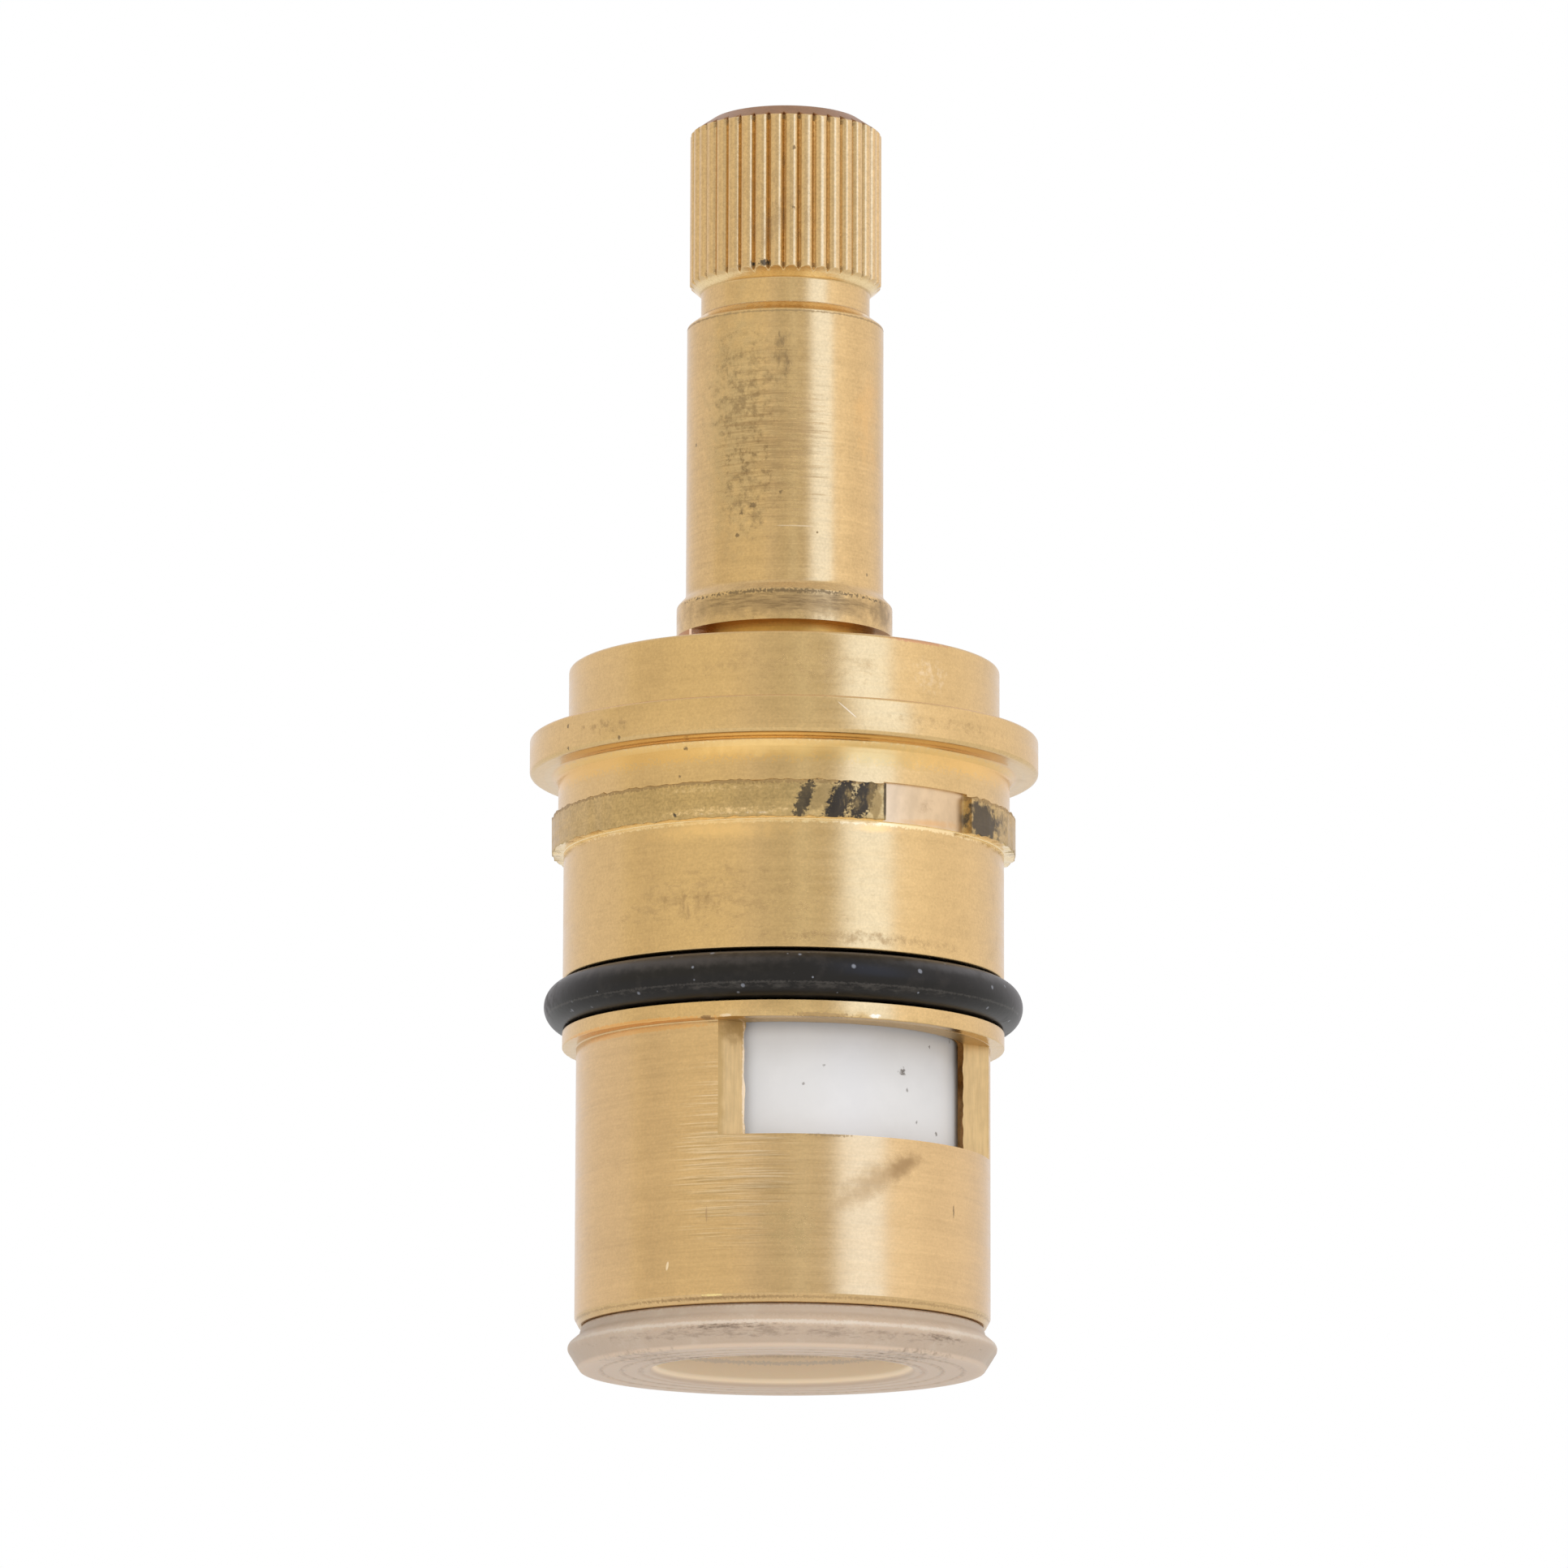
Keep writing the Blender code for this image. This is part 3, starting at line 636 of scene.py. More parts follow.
class Effects:
    """Shader node groups that several finishes share, each built once."""

    PATCH: ClassVar[dict[str, float]] = {
        "Angle": 0.0, "Height": 0.0, "Centre Angle": 0.0, "Centre Height": 0.0,
        "Half Width": 10.0, "Half Height": 1.0, "Slant": 0.0,
    }

    def __init__(self) -> None:
        """Build every group."""
        self.place = self.build_place()
        self.marks = self.build_marks()
        self.cloud = self.build_cloud()
        self.oval = self.build_oval()
        self.field = self.build_field()
        self.specks = self.build_specks()

    def build_place(self) -> Tree:
        """Angle from the front window in degrees, and height and radius in millimetres.

        Returns:
            The node group.
        """
        sheet, _, out = new_group("cylinder_place", {}, ("Angle", "Height", "Radius"))
        x, y, z = sheet.parts(sheet.where())
        angle = sheet.math("ARCTAN2", x, sheet.times(y, -1.0))
        square = sheet.plus(sheet.times(x, x), sheet.times(y, y))
        sheet.fill(out, Angle=sheet.math("DEGREES", angle), Height=sheet.times(z, 1.0 / MM),
                   Radius=sheet.times(sheet.math("SQRT", square), 1.0 / MM))
        return sheet.tree

    def build_marks(self) -> Tree:
        """Tool marks that run round the axis, on cylinders and end faces alike.

        Returns:
            The node group.
        """
        sheet, into, out = new_group("tool_marks", {"Marks per mm": 5.0, "Length": 20.0},
                                     ("Fine", "Streak"))
        place = sheet.group(self.place)
        x, y, _ = sheet.parts(sheet.where())
        along = sheet.plus(place["Height"], sheet.times(place["Radius"], 0.83))
        across = sheet.math("DIVIDE", 1.0 / MM, into["Length"])
        marks = sheet.join(sheet.times(x, across), sheet.times(y, across),
                           sheet.times(along, into["Marks per mm"]))
        fine = sheet.noise(marks, 1.0, detail=3.0, roughness=0.6)
        broad = sheet.noise(sheet.stretch(marks, (1.6, 1.6, 0.21)), 1.0, detail=1.0)
        streak = sheet.plus(sheet.times(fine, 0.6), sheet.times(broad, 0.4))
        sheet.fill(out, Fine=fine, Streak=streak)
        return sheet.tree

    def build_cloud(self) -> Tree:
        """Cloudy patches, as of tarnish or wear.

        Returns:
            The node group.
        """
        sheet, into, out = new_group("cloud", {"Spots per mm": 0.5, "Amount": 0.5})
        place = sheet.scale(sheet.where(), sheet.times(into["Spots per mm"], 1.0 / MM))
        cloud = sheet.noise(place, 1.0, detail=5.0, roughness=0.62)
        edge = sheet.minus(0.72, sheet.times(into["Amount"], 0.3))
        sheet.fill(out, Mask=sheet.band(cloud, edge, sheet.plus(edge, 0.2)))
        return sheet.tree

    def away(self, sheet: Sheet, into: dict[str, Socket]) -> Socket:
        """Distance from the centre of a slanted oval.

        Args:
            sheet: Adds nodes to the group.
            into: The group's inputs.

        Returns:
            The distance, which is 1 on the oval's outline.
        """
        across = sheet.minus(into["Angle"], into["Centre Angle"])
        up = sheet.minus(into["Height"], into["Centre Height"])
        up = sheet.minus(up, sheet.times(across, into["Slant"]))
        across = sheet.math("DIVIDE", across, into["Half Width"])
        up = sheet.math("DIVIDE", up, into["Half Height"])
        return sheet.math("SQRT", sheet.plus(sheet.times(across, across), sheet.times(up, up)))

    def build_oval(self) -> Tree:
        """One slanted oval at an angle and height on the surface, with a torn outline.

        Returns:
            The node group.
        """
        sheet, into, out = new_group(
            "torn_oval", {**self.PATCH, "Rag": 0.5, "Ragged": 0.6, "Softness": 0.4})
        rag = sheet.times(sheet.minus(into["Rag"], 0.5), sheet.times(into["Ragged"], 3.0))
        away = sheet.plus(self.away(sheet, into), rag)
        inner = sheet.minus(1.05, into["Softness"])
        sheet.fill(out, Mask=sheet.band(away, inner, 1.05, 1.0, 0.0))
        return sheet.tree

    def build_field(self) -> Tree:
        """A field of flecks, used for grime, bare metal and painted sheen, that thins out towards
        an oval outline.

        Returns:
            The node group.
        """
        sheet, into, out = new_group(
            "fleck_field", {**self.PATCH, "Grain": 4.0, "Stretch": 1.0, "Cover": 0.5})
        fall = sheet.band(self.away(sheet, into), 0.1, 1.0, 1.0, 0.0)
        scale = sheet.times(into["Grain"], 1.0 / MM)
        factors = sheet.join(scale, scale, sheet.times(scale, into["Stretch"]))
        flecks = sheet.noise(sheet.stretch(sheet.where(), factors), 1.0, detail=8.0,
                             roughness=0.74)
        thinned = sheet.minus(flecks, sheet.times(sheet.minus(1.0, fall), 0.30))
        edge = sheet.minus(0.74, sheet.times(into["Cover"], 0.34))
        sheet.fill(out, Mask=sheet.band(thinned, edge, sheet.plus(edge, 0.24)))
        return sheet.tree

    def build_specks(self) -> Tree:
        """Scattered small specks.

        Returns:
            The node group.
        """
        sheet, into, out = new_group("specks", {"Cells per mm": 1.2, "Share": 0.2, "Size": 0.12})
        place = sheet.scale(sheet.where(), sheet.times(into["Cells per mm"], 1.0 / MM))
        cells = sheet.add("ShaderNodeTexVoronoi")
        sheet.fill(cells, Vector=place, Scale=1.0)
        hue = sheet.add("ShaderNodeSeparateColor")
        sheet.feed(hue, 0, cells.outputs["Color"])
        chosen = sheet.math("LESS_THAN", hue.outputs[0], into["Share"])
        size = sheet.times(into["Size"], hue.outputs[1])
        rim = sheet.times(size, 2.2)
        speck = sheet.band(cells.outputs["Distance"], size, rim, 1.0, 0.0)
        sheet.fill(out, Mask=sheet.times(chosen, speck))
        return sheet.tree


@dataclass(frozen=True)
class Ground:
    """Sockets that all layers of one material share.

    Attributes:
        angle: Degrees round the axis from the front window.
        height: Millimetres above the seat.
        radius: Millimetres from the axis.
        rag: Noise about as coarse as half a millimetre, for torn outlines.
        grit: Noise about as fine as the eye can see.
    """

    angle: Socket
    height: Socket
    radius: Socket
    rag: Socket
    grit: Socket


@dataclass
class Surface:
    """One material while its nodes are laid out.

    Attributes:
        sheet: Adds nodes to the material.
        shader: The material's Principled shader.
        effects: The shared node groups.
    """

    sheet: Sheet
    shader: Node
    effects: Effects

    RAG_PER_MM: ClassVar[float] = 2.2
    GRIT_PER_MM: ClassVar[float] = 9.0

    @cached_property
    def ground(self) -> Ground:
        """The shared sockets, added on first use."""
        place = self.sheet.group(self.effects.place)
        at = self.sheet.where()
        return Ground(place["Angle"], place["Height"], place["Radius"],
                      self.sheet.noise(at, self.RAG_PER_MM / MM, detail=4.0, roughness=0.6),
                      self.sheet.noise(at, self.GRIT_PER_MM / MM, detail=2.0, roughness=0.6))

    def lay_over(self, layers: Iterable["Layer"], colour: Socket) -> tuple[Socket, object]:
        """Lay stains, grime and painted light and shade over a colour.

        Args:
            layers: Stains, grime fields and painted light and shade, the lowest first.
            colour: Colour of the clean surface.

        Returns:
            The colour with all layers, and how dirty each place is.
        """
        dirt: object = 0.0
        for layer in layers:
            share = layer.mask(self)
            colour = self.sheet.mix(share, colour, layer.colour)
            if not layer.metal:
                dirt = self.sheet.math("MAXIMUM", share, dirt)
        return colour, dirt


@dataclass(frozen=True)
class Patch:
    """An oval place on the surface that is dirty, bare, or painted with light or shade.

    Attributes:
        angle: Centre, in degrees from the front window, anticlockwise from above.
        height: Centre, in millimetres above the seat.
        half_width: Half width in degrees.
        half_height: Half height in millimetres.
        colour: Linear colour of the patch.
        strength: How much of the surface it covers.
        slant: Rise in millimetres for each degree.
        metal: Whether it keeps the metal bare and is not dirt, as a scratch, a painted highlight or
            a painted reflection does.
    """

    angle: float
    height: float
    half_width: float
    half_height: float
    colour: Colour
    strength: float = 0.8
    slant: float = 0.0
    metal: bool = False

    def cover_by(self, on: Surface, tree: Tree, **inputs: object) -> Socket:
        """Place a node group with this patch's centre and size.

        Args:
            on: The material.
            tree: The node group.
            **inputs: Further inputs of the group.

        Returns:
            Share of the surface that the patch covers at each place.
        """
        mask = on.sheet.mask(tree, Angle=on.ground.angle, Height=on.ground.height,
                             Centre_Angle=self.angle, Centre_Height=self.height,
                             Half_Width=self.half_width, Half_Height=self.half_height,
                             Slant=self.slant, **inputs)
        return on.sheet.times(mask, self.strength)


@dataclass(frozen=True)
class TornPatch(Patch):
    """A patch with a torn outline.

    Attributes:
        ragged: How uneven its outline is.
        softness: Width of its soft edge, as a share of its size.
        fine: Whether the outline is torn finely.
        within: Radius in millimetres inside which it shows, or 0 for anywhere.
        beyond: Radius in millimetres outside which it shows.
    """

    ragged: float = 0.5
    softness: float = 0.4
    fine: bool = False
    within: float = 0.0
    beyond: float = 0.0

    FADE_MM: ClassVar[float] = 0.08

    def mask(self, on: Surface) -> Socket:
        """Find what the patch covers.

        Args:
            on: The material.

        Returns:
            Share of the surface that it covers at each place.
        """
        sheet = on.sheet
        share = self.cover_by(on, on.effects.oval, Softness=self.softness, Ragged=self.ragged,
                              Rag=on.ground.grit if self.fine else on.ground.rag)
        if self.within > 0.0:
            inner = self.within - self.FADE_MM
            share = sheet.times(share, sheet.band(on.ground.radius, inner, self.within, 1.0, 0.0))
        if self.beyond > 0.0:
            outer = self.beyond + self.FADE_MM
            share = sheet.times(share, sheet.band(on.ground.radius, self.beyond, outer))
        return share


@dataclass(frozen=True)
class FleckField(Patch):
    """A field of fine flecks that thins out towards its outline.

    Attributes:
        cover: Share of the centre that flecks take up.
        grain: Flecks per millimetre.
        stretch: Below 1 the flecks stand upright, above 1 they lie round the axis.
    """

    strength: float = 0.7
    cover: float = 0.5
    grain: float = 4.0
    stretch: float = 1.0

    def mask(self, on: Surface) -> Socket:
        """Share of the surface that the flecks cover at each place."""
        return self.cover_by(on, on.effects.field, Grain=self.grain, Stretch=self.stretch,
                             Cover=self.cover)


Layer = TornPatch | FleckField


def line(height: float, half_height: float, colour: Colour, strength: float = 0.7,
         ragged: float = 0.8, metal: bool = False, within: float = 0.0,
         beyond: float = 0.0) -> TornPatch:
    """Thin patch that runs all the way round at one height, used for dirt lines and for painted
    light.
    """
    return TornPatch(0.0, height, ALL_ROUND, half_height, colour, strength, ragged=ragged,
                 softness=0.7, fine=True, metal=metal, within=within, beyond=beyond)


def dot(angle: float, height: float, size: float, radius: float, colour: Colour,
        strength: float = 0.85) -> TornPatch:
    """Small speck of a size in millimetres on a cylinder of a radius in millimetres."""
    half = size / 2.0
    return TornPatch(angle, height, math.degrees(half / radius), half, colour, strength,
                 ragged=0.9, softness=0.6, fine=True)


def scaled(colour: Colour, factor: float) -> Colour:
    """Make a colour lighter or darker, up to white."""
    red, green, blue = (min(1.0, c * factor) for c in colour)
    return red, green, blue


def new_material(name: str) -> tuple[bpy.types.Material, Sheet, Node]:
    """Start a material.

    Args:
        name: Name of the material.

    Returns:
        The material, its sheet and its Principled shader.
    """
    material = bpy.data.materials.new(name)
    material.use_nodes = True
    return material, Sheet(material.node_tree), material.node_tree.nodes["Principled BSDF"]


@dataclass(frozen=True)
class Finish:
    """What all finishes have.

    Attributes:
        name: Name of the material.
        colour: Linear colour of the clean surface.
        roughness: Roughness of the clean surface.
        layers: Stains, grime and painted light and shade at their own places, the lowest first.
    """

    name: str
    colour: Colour
    roughness: float
    layers: tuple[Layer, ...] = ()

    def build(self, effects: Effects) -> bpy.types.Material:
        """Make the material.

        Args:
            effects: The shared node groups.

        Returns:
            The finished material.
        """
        material, sheet, shader = new_material(self.name)
        self.paint(Surface(sheet, shader, effects))
        return material

    def paint(self, on: Surface) -> None:
        """Lay out the nodes of the material. Each finish has its own way."""
        raise NotImplementedError


@dataclass(frozen=True)
class BrassFinish(Finish):
    """Turned brass with tool marks, tarnish, specks, stains and painted light and shade.

    Attributes:
        tarnish: Share of the surface that is tarnished.
        marks_per_mm: Long tool marks per millimetre.
        streak: Contrast of the long tool marks.
        brush: Contrast of the short brushed marks.
        mottle: Contrast of the fine mottling.
        mark_depth: Bump distance of the tool marks.
        speck_share: Share of the speck cells that hold a speck.
    """

    colour: Colour = (0.70, 0.48, 0.215)
    roughness: float = 0.22
    tarnish: float = 0.5
    marks_per_mm: float = 5.0
    streak: float = 0.35
    brush: float = 0.25
    mottle: float = 0.6
    mark_depth: float = 0.004 * MM
    speck_share: float = 0.03

    SPECK: ClassVar[Colour] = (0.14, 0.10, 0.05)

    def paint(self, on: Surface) -> None:
        """Lay out the nodes.

        Args:
            on: The new material.
        """
        sheet = on.sheet
        effects = on.effects
        turned = sheet.group(effects.marks, Marks_per_mm=self.marks_per_mm, Length=18.0)
        brushed = sheet.group(effects.marks, Marks_per_mm=10.0, Length=0.9)
        cloud = sheet.mask(effects.cloud, Amount=self.tarnish)
        colour = sheet.mix(self.tone(on, turned["Streak"], brushed["Fine"]),
                           scaled(self.colour, 0.70), scaled(self.colour, 1.28))
        colour = sheet.mix(sheet.times(cloud, 0.30), colour, scaled(self.colour, 0.66))
        speckle = sheet.times(sheet.mask(effects.specks, Share=self.speck_share), 0.6)
        colour = sheet.mix(speckle, colour, self.SPECK)
        colour, dirt = on.lay_over(self.layers, colour)
        dirt = sheet.math("MAXIMUM", speckle, dirt)
        rough = sheet.band(turned["Streak"], 0.3, 0.7, self.roughness * 0.85,
                           self.roughness * 1.2)
        rough = sheet.plus(rough, sheet.times(cloud, 0.06))
        relief = sheet.plus(turned["Fine"], sheet.times(brushed["Fine"], 0.35))
        sheet.fill(on.shader, Base_Color=colour,
                   Roughness=sheet.plus(rough, sheet.times(dirt, 0.2)),
                   Metallic=sheet.minus(1.0, sheet.times(dirt, 0.5)),
                   Normal=sheet.bump(1.0, self.mark_depth, relief))

    def tone(self, on: Surface, streak: Socket, brushed: Socket) -> Socket:
        """Add up the marks and the mottling of the clean metal.

        Args:
            on: The material.
            streak: Long tool marks.
            brushed: Short brushed marks.

        Returns:
            Lightness of the metal from 0 to 1, about a half on average.
        """
        tone: object = 0.5
        for value, gain in ((streak, self.streak), (brushed, self.brush),
                            (on.ground.grit, self.mottle), (on.ground.rag, 0.5 * self.mottle)):
            tone = on.sheet.math("MULTIPLY_ADD", on.sheet.minus(value, 0.5), gain, tone)
        return on.sheet.math("MAXIMUM", tone, 0.0, clamp=True)


@dataclass(frozen=True)
class MilledFinish(Finish):
    """Brass as a milling cutter leaves it, with an upright grain.

    Attributes:
        grain: Upright lines per millimetre.
    """

    roughness: float = 0.38
    grain: float = 9.0

    def paint(self, on: Surface) -> None:
        """Lay out the nodes.

        Args:
            on: The new material.
        """
        sheet = on.sheet
        upright = sheet.stretch(sheet.where(), (self.grain / MM, self.grain / MM, 0.9 / MM))
        lines = sheet.noise(upright, 1.0, detail=3.0)
        tone = sheet.plus(sheet.times(lines, 0.7), sheet.times(on.ground.rag, 0.3))
        colour = sheet.mix(sheet.band(tone, 0.34, 0.66), scaled(self.colour, 0.91),
                           scaled(self.colour, 1.08))
        colour, dirt = on.lay_over(self.layers, colour)
        sheet.fill(on.shader, Base_Color=colour,
                   Roughness=sheet.math("MULTIPLY_ADD", dirt, 0.2, self.roughness),
                   Metallic=sheet.math("MULTIPLY_ADD", dirt, -0.4, 1.0),
                   Normal=sheet.bump(0.8, 0.005 * MM, tone))


@dataclass(frozen=True)
class RubberFinish(Finish):
    """Black rubber with a soft sheen and dust.

    Attributes:
        worn: Linear colour of its worn patches.
        dust: Linear colour of the dust.
    """

    name: str = "black_rubber"
    colour: Colour = (0.009, 0.0075, 0.006)
    roughness: float = 0.34
    worn: Colour = (0.035, 0.029, 0.024)
    dust: Colour = (0.22, 0.23, 0.26)

    def paint(self, on: Surface) -> None:
        """Lay out the nodes.

        Args:
            on: The new material.
        """
        sheet = on.sheet
        specks = sheet.mask(on.effects.specks, Cells_per_mm=2.6, Share=0.25, Size=0.16)
        cloud = sheet.mask(on.effects.cloud, Spots_per_mm=0.9, Amount=0.7)
        colour = sheet.mix(sheet.times(cloud, 0.35), self.colour, self.worn)
        colour, _ = on.lay_over(self.layers, colour)
        colour = sheet.mix(sheet.times(specks, 0.7), colour, self.dust)
        relief = sheet.noise(sheet.where(), 3.0 / MM, detail=3.0)
        sheet.fill(on.shader, Base_Color=colour, Specular_IOR_Level=0.24,
                   Roughness=sheet.band(cloud, 0.0, 1.0, self.roughness, self.roughness + 0.12),
                   Normal=sheet.bump(0.6, 0.01 * MM, relief))


@dataclass(frozen=True)
class CeramicFinish(Finish):
    """White sintered ceramic with a few dark specks."""

    name: str = "white_ceramic"
    colour: Colour = (0.635, 0.625, 0.62)
    roughness: float = 0.36

    SPECK: ClassVar[Colour] = (0.22, 0.18, 0.14)

    def paint(self, on: Surface) -> None:
        """Lay out the nodes.

        Args:
            on: The new material.
        """
        sheet = on.sheet
        cloud = sheet.mask(on.effects.cloud, Spots_per_mm=0.35, Amount=0.9)
        specks = sheet.mask(on.effects.specks, Cells_per_mm=1.1, Share=0.05, Size=0.07)
        colour = sheet.mix(sheet.times(cloud, 0.4), self.colour, scaled(self.colour, 0.92))
        colour = sheet.mix(sheet.times(specks, 0.6), colour, self.SPECK)
        colour, dirt = on.lay_over(self.layers, colour)
        sheet.fill(on.shader, Base_Color=colour,
                   Roughness=sheet.math("MULTIPLY_ADD", dirt, 0.2, self.roughness),
                   Normal=sheet.bump(0.4, 0.004 * MM, on.ground.grit))


@dataclass(frozen=True)
class SiliconeFinish(Finish):
    """Beige, slightly translucent silicone with dirt rubbed into its moulding lines, and painted
    light on its foot and in its bore.

    Attributes:
        pale: Linear colour of its worn patches.
        bore: Linear colour of the bore, painted light because the bore lies in shade.
        foot: Linear colour of the foot, painted lighter to stand for light shining through it from
            below.
        dirt: Linear colour of rubbed-in dirt.
        bore_radius: Radius inside which the bore's colour shows, in millimetres.
        foot_lines: Radii of the moulding lines under the foot, in millimetres.
    """

    name: str = "beige_silicone"
    colour: Colour = (0.45, 0.34, 0.248)
    roughness: float = 0.42
    pale: Colour = (0.54, 0.445, 0.35)
    bore: Colour = (0.95, 0.75, 0.53)
    foot: Colour = (0.61, 0.475, 0.36)
    dirt: Colour = (0.20, 0.14, 0.09)
    bore_radius: float = 5.36
    foot_lines: tuple[float, ...] = (5.85, 6.7, 7.55)

    def paint(self, on: Surface) -> None:
        """Lay out the nodes.

        Args:
            on: The new material.
        """
        sheet = on.sheet
        ground = on.ground
        cloud = sheet.mask(on.effects.cloud, Spots_per_mm=0.6, Amount=0.8)
        pale = sheet.math("MULTIPLY_ADD", ground.grit, 0.5, sheet.times(cloud, 0.5))
        colour = sheet.mix(pale, self.colour, self.pale)
        # Painted light on the foot.
        on_foot = sheet.band(ground.height, 0.10, 0.22, 1.0, 0.0)
        colour = sheet.mix(sheet.times(on_foot, 0.9), colour, self.foot)
        rag = sheet.math("MULTIPLY_ADD", ground.rag, 0.9, -0.42)
        for radius in self.foot_lines:
            off = sheet.math("ABSOLUTE", sheet.minus(ground.radius, radius))
            near = sheet.band(sheet.plus(off, rag), 0.02, 0.14, 1.0, 0.0)
            near = sheet.times(sheet.times(near, on_foot), 0.20)
            colour = sheet.mix(near, colour, self.dirt)
        # Painted light in the bore, which lies in shade.
        inside = sheet.band(ground.radius, self.bore_radius, self.bore_radius + 0.15, 1.0, 0.0)
        colour = sheet.mix(inside, colour, self.bore)
        colour, dirt = on.lay_over(self.layers, colour)
        sheet.fill(on.shader, Base_Color=colour, Subsurface_Weight=0.3,
                   Subsurface_Radius=(1.0, 0.7, 0.45), Subsurface_Scale=1.2 * MM,
                   Roughness=sheet.math("MULTIPLY_ADD", dirt, 0.2, self.roughness),
                   Normal=sheet.bump(0.5, 0.02 * MM, ground.rag))


@dataclass(frozen=True)
class PlainFinish(Finish):
    """Moulded plastic or stamped steel of the inner pieces.

    Attributes:
        metallic: 1 for metal and 0 for plastic.
    """

    metallic: float = 0.0

    def paint(self, on: Surface) -> None:
        """Lay out the nodes.

        Args:
            on: The new material.
        """
        sheet = on.sheet
        cloud = sheet.mask(on.effects.cloud, Spots_per_mm=0.8, Amount=0.6)
        marks = sheet.group(on.effects.marks, Marks_per_mm=6.0, Length=9.0)
        rough = sheet.band(marks["Streak"], 0.3, 0.7, self.roughness, self.roughness + 0.15)
        sheet.fill(on.shader, Base_Color=sheet.mix(cloud, self.colour, scaled(self.colour, 0.84)),
                   Roughness=rough, Metallic=self.metallic,
                   Normal=sheet.bump(0.4, 0.004 * MM, marks["Fine"]))


